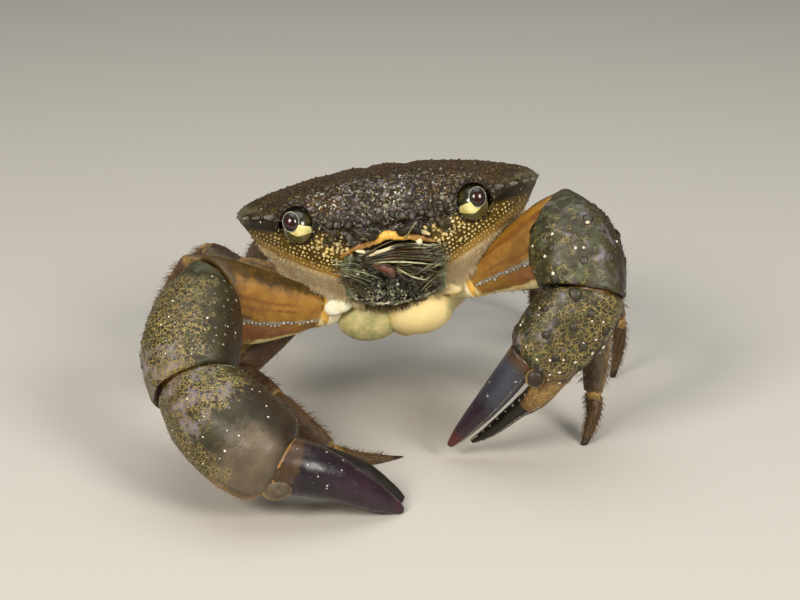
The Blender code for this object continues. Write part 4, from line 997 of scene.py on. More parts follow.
def limbSpot(name, share, angle):
    # the point and normal where a line from a limb's middle leaves its shell
    f = frames[name]
    aside, lift = (float(np.interp(share, f["table"][:, 0], f["table"][:, k])) for k in (3, 4))
    middle = f["start"] + f["axis"] * share * f["length"] + f["across"] * aside + f["over"] * lift
    out = f["across"] * math.cos(math.radians(angle)) + f["over"] * math.sin(math.radians(angle))
    hit, normal, _, _ = surfaces[name].ray_cast(Vector(middle), Vector(out))
    return hit, normal


def limbMasks(piece, name, masks, reach=None):
    # The strongest row of a mask counts. A row is: strength, middle angle and half width, and where along
    # the limb it starts and is full.
    share, angle = limbPlaces(name, coordsOf(piece))
    reach = share if reach is None else reach
    for zone, rows in masks.items():
        values = np.zeros(len(share))
        for strength, around, *spans in rows:
            row = strength * near(angle, *around)
            for low, high in spans:
                row = row * ramp(reach, low, high)
            values = np.maximum(values, row)
        paint(piece, zone, values)


def ballJoint(name, where, radius, dark=0.0, bright=0.0):
    # the soft skin that shows in the gap of a joint
    ball = roundBall(name, where, (radius, radius, radius), 32, 20)
    paint(ball, "dark", dark)
    paint(ball, "bright", bright)
    return place(ball, limbPlace, membraneFinish, ())


upright, minorUp = (0, 0, 1), unit((0, -1, 0.2))
allRound = (0, 999)
major = {
    "root": (-6.4, -10.7, 38.0), "hip": (-17.6, -17.5, 34.6), "elbow": (-44.8, -27.0, 44.0),
    "wrist": (-48.0, -54.0, 28.0), "knuckle": (-25.2, -69.0, 14.0), "tip": (3.4, -65.5, 1.2),
    "coxa": [(0.0, 4.6, 4.6, 0, 0), (0.55, 4.8, 4.9, 0, 0), (0.85, 4.9, 4.9, 0, 0), (1.3, 4.4, 4.4, 0, 0)],
    "merus": [(-0.2, 3.6, 4.0, 0, 0), (0.05, 4.2, 5.2, 0, -0.4), (0.22, 4.8, 7.0, 0, -1.6),
              (0.56, 5.8, 10.0, 0, -3.0), (0.85, 6.6, 10.6, 0, -2.6), (1.02, 6.6, 10.2, 0, -2.0),
              (1.3, 5.2, 8.0, 0, -1.6)],
    "carpus": [(-0.25, 4.6, 5.0, 1.0, 0), (0.0, 7.8, 7.8, 1.6, -0.4), (0.22, 10.6, 10.2, 2.2, 0),
               (0.5, 12.0, 11.6, 2.2, 0.4), (0.78, 11.8, 11.4, 2.0, 0.4), (1.0, 10.2, 9.8, 1.2, 0),
               (1.2, 7.8, 7.6, 0, 0)],
    "palm": [(-0.25, 6.0, 6.0, 0, 0), (0.0, 9.2, 9.4, 0.4, 0), (0.2, 11.4, 11.2, 1.2, 0),
             (0.5, 12.6, 11.9, 1.8, 0), (0.78, 12.2, 11.4, 1.6, 0), (0.92, 11.4, 10.7, 1.2, 0),
             (1.02, 10.2, 9.6, 0.9, 0), (1.15, 8.4, 8.0, 0.6, 0)],
    "fixed": [(-31.0, -63.5, 15.5), (-14.5, -62.2, 10.6), (-5.0, -60.8, 7.0), (3.6, -60.0, 0.4)],
    "fixedRadii": (6.4, 5.0, 4.0, 2.7, 1.1),
    "moving": [(-31.0, -70.2, 16.4), (-16.4, -69.6, 12.7), (-6.0, -68.0, 6.8), (3.4, -65.5, 0.4)],
    "movingRadii": (7.0, 6.6, 5.0, 3.6, 1.0),
    "tag": "R", "before": (5, 0, 44), "ups": (upright, upright, upright, upright), "bright": 0.55,
    "palmRound": 4.2, "swell": {"carpus": (5.0, 0.8), "palm": (6.0, 0.5), "finger": (3.0, 0.25)},
    # the yellow light: angles, its least strength and what it gains towards the root
    "flame": ((168, 52), 0.5, 0.5),
    "masks": {
        "merus": {
            "dark": [(0.85, (95, 40)), (0.9, (130, 70), (0.7, 1.0))],
            "dusk": [(0.6, (193, 16), (0.4, 0.75))],
            "streak": [(0.8, (150, 9), (0.12, 0.4)), (0.8, (170, 5), (0.12, 0.4)),
                       (0.8, (188, 6), (0.12, 0.4))],
            "brick": [(0.85, (228, 30), (0.1, 0.4))],
            "ashen": [(0.85, (202, 7)), (0.8, (140, 26), (0.95, 0.99))],
            "pale": [(0.9, (250, 16), (0.8, 0.4)), (0.6, allRound, (0.1, 0.0))],
        },
        "carpus": {
            "net": [(0.95, (50, 100), (0.02, 0.15))], "brown": [(0.95, (178, 52))],
            "lilac": [(0.46, (0, 50)), (0.46, (50, 70), (0.6, 0.9))], "lichen": [(0.36, (70, 90))],
            "warm": [(0.75, (-110, 60))], "rim": [(0.42, (110, 110), (0.94, 1.0))],
        },
        "palm": {
            "net": [(1.0, (-35, 60), (0.95, 0.72)), (1.0, (40, 95), (0.62, 0.3))],
            "lilac": [(0.47, (45, 80), (0.62, 0.35))], "lichen": [(0.44, (85, 70), (0.7, 0.3))],
            # grey on the palm's face near the fingers: partly the shell's own grey, partly a painted sheen
            # where it shines
            "grey": [(1.0, (22, 75), (0.5, 0.85))], "brown": [(0.9, (120, 70), (0.15, 0.5))],
            "warm": [(0.95, (-50, 34), (0.45, 0.8))],
        },
    },
    "fixedMasks": {"horn": [(1.0, allRound, (0.3, 0.42))]},
    # strength, and where along the moving finger each starts and is full
    "fingerMasks": {"root": (0.9, 0.1, 0.03), "purple": (0.9, 0.25, 0.5), "red": (0.35, 0.8, 1.0),
                    "speckled": (1.0, 0.8, 0.5)},
    "skins": {"Knuckle": ((-27.0, -69.2, 15.4), 7.7, 0.45), "Wrist": ("wrist", 7.2, 0.5),
              "Elbow": ("elbow", 5.4),
              "Hip": ("hip", 4.4, 0.0, 0.8)},
    "rootSkin": 4.2,
    "boss": {"centre": (-26.2, -74.6, 11.6), "radii": (4.2, 2.8, 3.3), "turn": -20, "grid": (48, 32),
             "zone": ("grey", 0.62), "face": (-26.2, -77.0, 12.2), "squash": (1, 0.4, 1.3),
             "rim": (3.0, 3.9, 0.8)},
}
minor = {
    "root": (11.3, -10.5, 41.0), "hip": (22.4, -17.5, 42.2), "elbow": (42.8, -23.0, 60.6),
    "wrist": (50.4, -40.0, 47.2), "knuckle": (36.6, -42.0, 29.2), "tip": (16.6, -36.5, 5.2),
    "coxa": [(0.0, 4.4, 4.4, 0, 0), (0.55, 4.5, 4.6, 0, 0), (0.85, 4.5, 4.6, 0, 0), (1.3, 4.2, 4.2, 0, 0)],
    "merus": [(-0.2, 3.6, 3.8, 0, 0), (0.05, 4.2, 4.7, 0, -0.3), (0.3, 4.9, 7.0, 0, -1.6),
              (0.6, 5.6, 9.6, 0, -3.2), (0.85, 6.2, 10.4, 0, -3.6), (1.02, 6.2, 10.0, 0, -3.4),
              (1.3, 5.0, 8.0, 0, -3.0)],
    "carpus": [(-0.3, 5.0, 5.0, 0, 0), (0.0, 8.8, 8.4, -0.4, 0.4), (0.25, 11.0, 10.2, -0.8, 0.8),
               (0.5, 11.6, 10.8, -0.6, 0.8), (0.78, 11.2, 10.2, 0, 0.4), (1.0, 9.4, 9.0, 0.2, 0),
               (1.22, 7.0, 6.8, 0, 0)],
    "palm": [(-0.3, 5.4, 5.0, 0, 0), (0.0, 8.8, 7.4, 0, 0), (0.3, 10.4, 8.4, 0, 0), (0.6, 10.2, 8.4, 0, 0),
             (0.9, 9.1, 7.8, 0, 0), (1.05, 8.2, 7.0, 0, 0), (1.2, 7.2, 6.0, 0, 0)],
    "fixed": [(43.5, -42.0, 30.0), (38.1, -41.5, 20.9), (32.4, -40.0, 15.5), (26.1, -38.0, 8.8),
              (21.3, -36.5, 5.1)],
    "fixedRadii": (4.6, 3.4, 2.4, 1.7, 0.8),
    "moving": [(34.2, -43.5, 32.0), (26.5, -42.5, 20.6), (20.5, -40.0, 11.7), (15.8, -37.0, 4.4)],
    "movingRadii": (4.4, 3.9, 3.1, 2.2, 0.8),
    "tag": "L", "before": (-5, 0, 44), "ups": (minorUp, upright, minorUp, minorUp), "bright": 0.4,
    "palmRound": 3.2, "swell": {"carpus": (4.0, 0.8), "palm": (5.0, 0.4)},
    "flame": ((44, 80), 0.95, 0.0),
    "masks": {
        "merus": {
            "dark": [(0.9, (120, 50))],
            "streak": [(0.75, (26, 7), (0.1, 0.3)), (0.75, (64, 8), (0.1, 0.3))],
            "brick": [(0.8, (-34, 32), (0.2, 0.5))],
            "ashen": [(0.8, (-2, 9)), (0.6, (40, 44), (0.97, 1.0))],
            "pale": [(0.95, (-66, 24)), (0.6, allRound, (0.1, 0.0))],
        },
        "carpus": {
            "net": [(0.42, (60, 100), (0.02, 0.15))], "lilac": [(0.33, (110, 100))],
            "lichen": [(0.4, (80, 110))],
            "brown": [(0.8, (190, 60))], "warm": [(0.7, (-90, 60))], "rim": [(0.5, (30, 60), (0.9, 0.97))],
        },
        "palm": {"warm": [(0.62, (150, 60), (0.7, 1.0))]},
    },
    "fixedMasks": {
        "net": [(0.95, (140, 70), (0.43, 0.38)), (0.6, (70, 80), (0.43, 0.38))],
        "lilac": [(0.34, (50, 90), (0.3, 0.2))], "lichen": [(0.38, (80, 90), (0.3, 0.2))],
        "pale": [(0.75, (84, 34), (0.28, 0.332), (0.44, 0.388))], "horn": [(1.0, allRound, (0.42, 0.48))],
    },
    "fingerMasks": {"root": (0.8, 0.1, 0.0), "slate": (0.9, 0.6, 0.35), "purple": (0.9, 0.4, 0.6),
                    "red": (1.0, 0.8, 0.95), "speckled": (1.0, 0.6, 0.3)},
    "skins": {"Knuckle": ((37.2, -42.6, 31.2), 5.1), "Wrist": ("wrist", 6.6, 0.85), "Elbow": ("elbow", 5.0),
              "Hip": ("hip", 4.2, 0.0, 0.8)},
    "rootSkin": 4.0,
    "boss": {"centre": (36.4, -47.2, 27.6), "radii": (2.5, 1.9, 2.6), "turn": 0, "grid": (40, 28),
             "zone": ("brown", 0.9), "face": (36.4, -49.0, 27.9), "squash": (1, 0.4, 1),
             "rim": (1.7, 2.4, 0.7)},
}


def lerp(a, b, share):
    return np.asarray(a, float) + (np.asarray(b, float) - np.asarray(a, float)) * share


def blendFinger(palm, finger):
    # fuses the fixed finger into the palm and rounds the join
    carve(palm, finger, "UNION")
    useModifier(palm, "REMESH", {"mode": "VOXEL", "voxel_size": 0.42})
    useModifier(palm, "SMOOTH", {"factor": 0.6, "iterations": 10})


clawParts = {
    # rows and sides of the shell, its finish and its slot
    "coxa": (28, 40, creamFinish, "pale_shell"), "merus": (72, 64, orangeFinish, "orange_shell"),
    "carpus": (90, 88, limbFinish, "limb_shell"), "palm": (60, 72, limbFinish, "limb_shell"),
}
floorCut = ((0, 0, 0), (0, 0, -1))
for kind, plan in (("major", major), ("minor", minor)):
    tag, rests = plan["tag"], kind == "major"  # only the heavy claw rests on the floor
    chain = [plan[joint] for joint in ("before", "root", "hip", "elbow", "wrist", "knuckle", "tip")]
    for order, (part, (rows, sides, finish, slotName)) in enumerate(clawParts.items()):
        name = kind + part.capitalize()
        ends = (1.4, plan["palmRound"], False) if part == "palm" else ()
        shell = limbShell(name, chain[order:order + 4], plan["ups"][order], plan[part], rows, sides, *ends)
        if part == "palm":
            blendFinger(shell,
                        tubeShell("finger", plan["fixed"], plan["fixedRadii"], 32, 10, 1.0, upright, 0.3))
        if part in plan["swell"]:
            swell(shell, *plan["swell"][part])
        if part == "palm" and rests:
            keepSide(shell, *floorCut)
        if part == "coxa":  # bright, and the right one a little golden further out
            paint(shell, "bright", plan["bright"])
            paint(shell, "flame", ramp(-coordsOf(shell)[:, 0], 12, 18) * 0.2)
        else:
            limbMasks(shell, name, plan["masks"][part])
        if part == "merus":
            share, angle = limbPlaces(name, coordsOf(shell))
            around, least, gain = plan["flame"]
            paint(shell, "flame", near(angle, *around) * (least + gain * ramp(share, 0.85, 0.45))
                  + 0.95 * ramp(share, 0.26, 0.06))
        if part == "palm":  # how far along the fixed finger each point is
            run = np.subtract(plan["fixed"][-1], plan["fixed"][0])
            limbMasks(shell, name, plan["fixedMasks"],
                      (coordsOf(shell) - plan["fixed"][0]) @ run / (run @ run))
        surfaces[name] = surfaceOf(shell)
        place(shell, limbPlace, finish, [f"claw_{part}_{tag}"])
    name = f"{kind}Finger"
    finger = tubeShell(name, plan["moving"], plan["movingRadii"], 56, 22, 1.0, upright, 0.3)
    if rests:
        swell(finger, *plan["swell"]["finger"])
        keepSide(finger, *floorCut)
    coords = coordsOf(finger)
    run = np.subtract(plan["tip"], plan["knuckle"])
    past = (coords - plan["knuckle"]) @ unit(run) / np.linalg.norm(run)
    for zone, (strength, low, high) in plan["fingerMasks"].items():
        values = strength * ramp(past, low, high)
        if rests and zone == "root":
            values = np.maximum(values, 0.3 * ramp(past, 0.2, 0.08) * ramp(coords[:, 2], 13, 18))
        paint(finger, zone, values)
    if rests:
        paint(finger, "lilac", 0.26 * near(past * 100, 12, 16))
    surfaces[name] = surfaceOf(finger)
    place(finger, limbPlace, fingerFinish, [f"claw_dactylus_{tag}"])
    for joint, (where, *look) in plan["skins"].items():
        ballJoint(f"{kind}{joint}Skin", plan[where] if isinstance(where, str) else where, *look)
    bossPlan = plan["boss"]
    boss = roundBall(f"{kind}KnuckleBoss", bossPlan["centre"], bossPlan["radii"], *bossPlan["grid"],
                     bossPlan["turn"])
    paint(boss, *bossPlan["zone"])
    away = np.linalg.norm((coordsOf(boss) - bossPlan["face"]) * bossPlan["squash"], axis=1)
    low, high, strength = bossPlan["rim"]
    paint(boss, "rim", ramp(away, low, high) * strength)
    place(boss, limbPlace, limbFinish, ())
    ballJoint(f"{kind}RootSkin", plan["root"], plan["rootSkin"])
print("claws made")


# Walking legs: root, hip, knee, ankle, toe and tip of each

legs = {
    "1R": ((-12.0, -5.1, 34.7), (-20.8, -6.3, 32.8), (-40.2, -18.0, 17.0), (-29.8, -30.5, 13.6),
           (-14.9, -43.2, 5.2), (4.4, -34.6, -0.9)),
    "2R": ((-11.8, 0.7, 33.3), (-21.0, 2.0, 30.7), (-44.3, 9.5, 34.9), (-56.0, 17.3, 34.4),
           (-65.6, 23.8, 16.9), (-60.0, 20.0, -0.9)),
    "3R": ((-10.8, 6.8, 33.0), (-19.4, 9.8, 29.4), (-42.8, 22.8, 30.7), (-52.1, 33.1, 32.3),
           (-62.5, 44.5, 18.1), (-62.0, 44.0, -0.9)),
    "4R": ((-8.7, 12.9, 32.8), (-14.8, 16.9, 29.3), (-29.4, 36.4, 29.1), (-35.9, 48.5, 31.8),
           (-43.3, 62.6, 18.1), (-43.0, 62.0, -0.9)),
    "1L": ((17.7, -5.1, 38.9), (26.7, -6.3, 39.4), (52.0, -16.0, 44.0), (55.0, -18.5, 31.0),
           (54.2, -21.0, 12.0), (51.0, -28.0, -0.9)),
    "2L": ((17.9, 0.7, 37.5), (27.5, 2.0, 37.5), (48.0, 8.0, 46.1), (57.4, 13.3, 37.3), (64.9, 17.5, 18.1),
           (64.0, 17.0, -0.9)),
    "3L": ((17.0, 6.8, 36.9), (26.2, 9.8, 35.8), (46.5, 21.5, 42.0), (54.0, 31.4, 35.5), (61.0, 40.7, 18.0),
           (62.0, 42.0, -0.9)),
    "4L": ((15.1, 12.9, 36.1), (21.8, 16.9, 34.5), (36.0, 34.2, 37.8), (40.0, 47.2, 34.5),
           (43.9, 59.7, 18.1), (44.0, 60.0, -0.9)),
}
legPlan = {
    "stub": [(0, 3.4, 3.8, 0, 0), (0.6, 3.4, 3.9, 0, 0), (1.1, 3.0, 3.5, 0, 0)],
    "merus": [(-0.16, 2.6, 3.0, 0, 0), (0.06, 2.8, 3.5, 0, 0), (0.5, 2.9, 4.3, 0, 0.1),
              (0.85, 2.8, 4.2, 0, 0.2), (1.0, 2.6, 3.6, 0, 0), (1.14, 2.3, 3.0, 0, 0)],
    "carpus": [(-0.2, 2.4, 3.0, 0, 0), (0.1, 2.7, 3.5, 0, 0), (0.7, 2.9, 3.9, 0, 0.1),
               (1.0, 2.6, 3.4, 0, 0), (1.2, 2.3, 2.8, 0, 0)],
    "propodus": [(-0.14, 2.3, 2.9, 0, 0), (0.08, 2.5, 3.4, 0, 0), (0.45, 2.6, 3.5, 0, 0),
                 (0.8, 2.3, 3.0, 0, 0), (1.0, 2.0, 2.5, 0, 0), (1.14, 1.8, 2.2, 0, 0)],
    "foot": (2.2, 2.1, 1.6, 1.1, 0.7),
}
legMasks = {
    "dark": [(0.75, (0, 60)), (0.4, (180, 60))],
    "pale": [(0.55, (90, 35)), (0.5, allRound, (0.88, 0.98))], "ashen": [(0.5, (60, 80))],
}
hairRows = {"R": [], "L": []}
hairPlan = {
    # tries on each segment, the angles round a segment where bristles stand thickest, and their chances
    "counts": {"merus": 80, "carpus": 110, "propodus": 240, "foot": 420},
    "ways": (90.0, -90.0, 40.0, 140.0, -40.0, -140.0), "chances": (0.36, 0.3, 0.1, 0.1, 0.07, 0.07),
    "wobble": 14,
}


def growHair(name, part, share, angle, lengths, lowest=-math.inf):
    # one bristle of a limb with a name like leg1RMerus; its patch of the map is in the leg's column and
    # the segment's row
    hit, normal = limbSpot(name, share, angle)
    if hit is not None and hit.z > lowest:
        column, row = int(name[3]) - 1, list(hairPlan["counts"]).index(part)
        patch = (0.25 * column + 0.24 * ((angle / 360) % 1), 0.25 * row + 0.24 * share)
        length = draw.uniform(*lengths)
        hairRows[name[4]].append((tuple(hit), tuple(normal), frames[name]["axis"], length, patch))


for key, (root, hip, knee, ankle, toe, tip) in legs.items():
    number, tag = key
    rise = unit(np.subtract(knee, hip))
    stub = limbShell(f"leg{key}Base", ((0, root[1], 44), root, hip, knee), upright, legPlan["stub"], 16, 36)
    limbMasks(stub, f"leg{key}Base", legMasks)
    place(stub, limbPlace, legFinish, ())
    for part, joints, up in (("merus", (root, hip, knee, ankle), upright),
                             ("carpus", (hip, knee, ankle, toe), rise),
                             ("propodus", (knee, ankle, toe, tip), rise)):
        name = f"leg{key}{part.capitalize()}"
        shell = limbShell(name, joints, up, legPlan[part], 40, 36, 1.0, 0.5)
        swell(shell, 2.5, 0.25)
        limbMasks(shell, name, legMasks)
        surfaces[name] = surfaceOf(shell)
        for _ in range(hairPlan["counts"][part]):
            way = draw.choice(hairPlan["ways"], p=hairPlan["chances"])
            share, angle = draw.uniform(0.05, 0.97), way + draw.normal(scale=hairPlan["wobble"])
            growHair(name, part, share, angle, (1.2, 2.8))
        place(shell, limbPlace, legFinish, [f"leg{number}_{part}_{tag}"])
    bow = rise * 1.2
    name = f"leg{key}Foot"
    run = [lerp(toe, tip, 0.02), lerp(toe, tip, 0.35) + bow, lerp(toe, tip, 0.75) + bow * 0.7, tip]
    foot = tubeShell(name, run, legPlan["foot"], 28, 14, 1.0, rise, 0.3)
    keepSide(foot, *floorCut)
    way, reach = unit(np.subtract(tip, toe)), np.linalg.norm(np.subtract(tip, toe))
    share = (coordsOf(foot) - toe) @ way / reach
    paint(foot, "horn", ramp(share, 0.74, 0.88))
    paint(foot, "pale", 0.7 * near(share * 100, 4, 14))
    across = unit(np.cross(way, rise))
    frames[name] = {"start": np.asarray(toe, float), "axis": way, "length": reach, "across": across,
                    "over": np.cross(across, way),
                    "table": np.array([(0, 0, 0, 0, 0.4), (0.35, 0, 0, 0, 1.2), (0.75, 0, 0, 0, 0.8),
                                       (1, 0, 0, 0, 0)])}
    surfaces[name] = surfaceOf(foot)
    for _ in range(hairPlan["counts"]["foot"]):
        growHair(name, "foot", draw.uniform(0.04, 0.8), draw.uniform(0, 360), (0.8, 1.8), 1.0)
    place(foot, limbPlace, legFinish, [f"leg{number}_dactylus_{tag}"])
    for part, where, radius in (("Hip", hip, 2.7), ("Knee", knee, 2.5), ("Ankle", ankle, 2.3),
                                ("Toe", toe, 1.8)):
        ballJoint(f"leg{key}{part}Skin", where, radius, 0.8)
print("legs made")


# Granules and spines of the carapace


def castRows(starts, way, radius, height, shades, jitter=0.18):
    # granules where straight lines meet the carapace
    found = []
    for start in starts:
        hit, normal, _, _ = bodySurface.ray_cast(Vector(start), Vector(way))
        if hit is not None:
            size = draw.uniform(1 - jitter, 1 + jitter)
            found.append((hit, normal, radius * size, height * size, draw.uniform(*shades)))
    return found


def spreadOut(count, low, high, apart, keep):
    # points over a rectangle, no two closer than apart(x, y)
    chosen = np.empty((0, 2))
    for spot in draw.uniform(low, high, size=(count, 2)):
        if draw.uniform() > keep(*spot):
            continue
        if len(chosen) and np.min(np.hypot(*(chosen - spot).T)) < apart(*spot):
            continue
        chosen = np.vstack([chosen, spot])
    return chosen


def plant(name, model, found, finish, matrix, aimLift=None):
    points, aims, radii, heights, shades = zip(*found)
    aims = np.array([tuple(a) for a in aims])
    if aimLift is not None:
        aims = unit(aims) + aimLift
    piece = joinCopies(name, model, [tuple(p) for p in points], aims, radii, heights, shades)
    return place(piece, matrix, finish, ())


down, back = (0, 0, -1), (0, 1, 0)
backRows = {
    "rows": [(-27.4, 13.0, 13, 0.7), (-25.4, 17.0, 15, 0.7), (-23.2, 19.5, 14, 0.75),
             (-20.4, 30.0, 21, 0.65), (-17.6, 31.0, 19, 0.55), (-14.6, 32.0, 17, 0.46),
             (-11.4, 33.0, 14, 0.4)],
    "scatter": 5200, "front": -28.5, "rear": 12.0,
}
found = []
for y, reach, count, radius in backRows["rows"]:
    for i in range(count):
        x = -reach + 2 * reach * i / (count - 1) + draw.uniform(-1.0, 1.0)
        lie = y + 2.5 * (x / reach) ** 2 + draw.uniform(-1.0, 1.0)
        pale = (0.0, 0.7) if y < -19 else (0.0, 0.4)
        found += castRows([(x, lie, 40)], down, radius, radius * 0.7, pale, 0.4)
plant("backRows", lump, found, backWarts, bodyPlace)
found = []
scattered = spreadOut(
    backRows["scatter"], (-38, backRows["front"]), (38, backRows["rear"]),
    lambda a, b: 0.85 + 0.05 * max(0, b + 24), lambda a, b: 1.0 if b < -14 else 0.55)
for x, lie in scattered:
    size = 0.2 + 0.16 * draw.uniform()
    found += castRows([(x, lie, 40)], down, size, size * 0.9, (0.0, 0.4))
plant("backGranules", fineGranule, found, backWarts, bodyPlace)

# teeth of the front, in two lobes, and the crusted lumps between the eyes
found = []
for side in (-1, 1):
    for i in range(6):
        level = -0.9 + draw.uniform(-0.5, 0.5)
        found += castRows([(side * (1.9 + 2.45 * i), -60, level)], back, 1.0, 1.1, (0.1, 0.6), 0.3)
plant("frontTeeth", lump, found, crustWarts, bodyPlace, np.array([0, -0.5, 0.2]))
found = []
for _ in range(460):
    x, z = draw.uniform(-17, 17), draw.uniform(-6.6, 3.8)
    if math.hypot(abs(x) - orbit["centre"][0], z - orbit["centre"][2]) < orbit["radius"] + 0.6:
        continue
    size = draw.choice((0.28, 0.42, 0.62, 0.9), p=(0.45, 0.32, 0.16, 0.07))
    if abs(x) < 4.5 and z < -3.6:
        size *= 0.6
    found += castRows([(x, -60, z)], back, size, size * 0.5,
                      (0.0, 0.3) if draw.uniform() < 0.62 else (0.4, 1.0), 0.35)
plant("frontCrust", lump, found, crustWarts, bodyPlace)
found = []
margin = ((28.6, -24.6), (32.4, -20.6), (35.6, -16.0), (37.8, -11.4), (39.2, -6.8), (39.8, -2.0),
          (39.4, 3.0))
for side in (-1, 1):
    for i, (x, lie) in enumerate(margin):
        outward = unit((x, 0.9 * lie - 6, 0))
        centre = (side * (x - 1.2 * outward[0]), lie - 1.2 * outward[1], body["rise"] * 0.8)
        found.append((Vector(centre), Vector((side * outward[0], outward[1], 0.15)), 1.45 - 0.1 * i,
                      3.9 - 0.4 * i, draw.uniform(0.7, 1)))
        for _ in range(4):  # spinules between
            turn = draw.normal(scale=0.5, size=3)
            shift = unit((side * -outward[1], outward[0], 0)) * draw.uniform(-2.2, 2.2)
            at = np.array(centre) + shift + np.array((0, 0, turn[0]))
            found.append((Vector(at), Vector((side * outward[0], outward[1], 0.4 + 0.3 * turn[1])), 0.55,
                          1.9, draw.uniform(0.2, 0.9)))
plant("sideSpines", spine, found, spineWarts, bodyPlace)

# dark lumps over the orbits with small pale flecks under them, and rows of granules over the cheeks
found, flecks = [], []
for side in (-1, 1):
    for i in range(22):
        turn = math.tau * i / 22
        over = math.sin(turn) > 0.05
        ring = orbit["radius"] + (0.75 if over else 0.5)
        start = (side * (orbit["centre"][0] + ring * math.cos(turn)), -60,
                 orbit["centre"][2] + ring * math.sin(turn))
        if over:
            found += castRows([start], back, 0.66, 0.55, (0.0, 0.5), 0.4)
        else:
            found += castRows([start], back, 0.42, 0.5, (0.0, 0.3), 0.3)
            for _ in range(2):
                spot = np.array(start) + draw.normal(scale=0.35, size=3) * [1, 0, 1]
                flecks += castRows([spot], back, 0.2, 0.24, (0.6, 1.0), 0.4)
plant("orbitBeads", lump, found, crustWarts, bodyPlace)
cheek = {"rows": 13, "first": 5.9, "step": 1.12, "spacing": 1.16, "small": 0.26, "grow": 0.03}
found = []
for side in (-1, 1):
    for row in range(cheek["rows"]):
        above = cheek["first"] + cheek["step"] * row
        spacing = cheek["spacing"] * (0.72 + 0.05 * row)
        size = cheek["small"] + cheek["grow"] * row
        for i in range(int(31 / spacing)):
            x = 7.5 + spacing * i + draw.uniform(-0.14, 0.14) + (row % 2) * spacing / 2
            z = body["edgeBottom"] + body["edgeSlope"] * x + above + draw.uniform(-0.14, 0.14)
            if z > -3.0 + marginRise(x) or x > 37 or draw.uniform() < 0.1:
                continue
            if x < 11.5 and z > -9.5:
                continue
            if math.hypot(x - orbit["centre"][0], z - orbit["centre"][2]) < orbit["radius"] + 1.1:
                continue
            pale = (0.3, 1.0) if x < 33 - 0.5 * row else (0.05, 0.5)
            found += castRows([(side * x, -60, z)], back, size, size * 1.05, pale, 0.22)
for _ in range(46):  # a few larger whitish ones by the mouth's corners and under the orbits
    side, x, z = draw.choice((-1, 1)), draw.uniform(9, 20), draw.uniform(-9.5, -4.5)
    if math.hypot(x - orbit["centre"][0], z - orbit["centre"][2]) > orbit["radius"] + 1.2:
        found += castRows([(side * x, -60, z)], back, draw.uniform(0.36, 0.6), 0.5, (0.4, 1.0), 0.2)
plant("cheekGranules", granule, found + flecks, cheekWarts, bodyPlace)
# broken shards of shell and weed over the lower mouth
found = []
for _ in range(620):
    x, z = draw.uniform(-12, 12), draw.uniform(-23.4, -9.5)
    if (x / 12.4) ** 2 + ((z + 16.2) / 7.4) ** 2 > 1:
        continue
    spot = mouthHit(x, z)
    lean = unit(np.array(draw.normal(size=3)) * [1, 0.45, 1] + (0, -0.35, 0))
    size = draw.uniform(0.14, 0.52)
    bright = draw.uniform() < (0.42 if z < -17 and x < 2 else 0.16)
    found.append((spot[0], lean, size, size * draw.uniform(1.4, 3.2),
                  draw.uniform(0.8, 1) if bright else draw.uniform(0, 0.3)))
plant("mouthShards", granule, found, shardFinish, bodyPlace)
print("carapace granules planted")


# Granules of the claws


def roundGranules(name, count, shares, angles, radius, height, shades, apart):
    # granules spread over part of a limb
    found, chosen = [], np.empty((0, 3))
    for _ in range(count):
        at, turn = draw.uniform(*shares), draw.uniform(*angles)
        hit, normal = limbSpot(name, at, turn)
        if hit is None or (len(chosen) and np.min(np.linalg.norm(chosen - np.array(hit), axis=1)) < apart):
            continue
        chosen = np.vstack([chosen, np.array(hit)])
        size = draw.uniform(0.75, 1.25)
        found.append((hit, normal, radius * size, height * size, draw.uniform(*shades)))
    return found


# The lighter claw has larger, mostly dark tubercles, and white ones along its outer edge. Each row is: limb,
# tries, span along it, span of angles, radius, height, span of shades and distance apart.
clawGranules = {
    "majorGranules": (granule, (
        ("majorCarpus", 700, (0.1, 0.95), (-50, 150), 0.42, 0.24, (0.0, 0.3), 2.3),
        ("majorCarpus", 60, (0.55, 0.95), (60, 160), 0.28, 0.24, (0.5, 1.0), 2.6),
        ("majorPalm", 220, (0.03, 0.5), (20, 150), 0.4, 0.24, (0.0, 0.35), 2.2),
        ("majorPalm", 40, (0.1, 0.7), (-30, 130), 0.26, 0.18, (0.7, 1.0), 4.5))),
    "minorGranules": (lump, (
        ("minorCarpus", 500, (0.1, 0.95), (-10, 190), 1.1, 0.3, (0.0, 0.05), 7.0),
        ("minorCarpus", 500, (0.08, 0.95), (-10, 190), 0.3, 0.16, (0.0, 0.25), 1.9),
        ("minorCarpus", 40, (0.3, 0.98), (30, 190), 0.55, 0.5, (0.85, 1.0), 4.6),
        ("minorPalm", 500, (0.05, 0.95), (0, 185), 1.15, 0.45, (0.0, 0.05), 5.0),
        ("minorPalm", 500, (0.05, 0.98), (0, 185), 0.3, 0.16, (0.0, 0.25), 1.9),
        ("minorPalm", 60, (0.1, 1.0), (120, 190), 0.52, 0.5, (0.85, 1.0), 2.9),
        ("minorPalm", 22, (0.05, 1.0), (0, 120), 0.45, 0.42, (0.85, 1.0), 5.0))),
}
for name, (model, rows) in clawGranules.items():
    found = []
    for row in rows:
        found += roundGranules(*row)
    plant(name, model, found, limbWarts, limbPlace)
# grey-blue beads along the ridges of the upper claw segments: limb, first place, angle and height
found = []
for i in range(24):
    for limb, first, angle, height in (("majorMerus", 0.08, 203, 0.5), ("minorMerus", 0.06, -4, 0.45)):
        hit, normal = limbSpot(limb, first + 0.036 * i, angle + draw.uniform(-5, 5))
        if hit is not None:
            found.append((hit, normal, draw.uniform(0.3, 0.6), height, draw.uniform(0.5, 1)))
plant("merusBeads", granule, found, beadWarts, limbPlace)
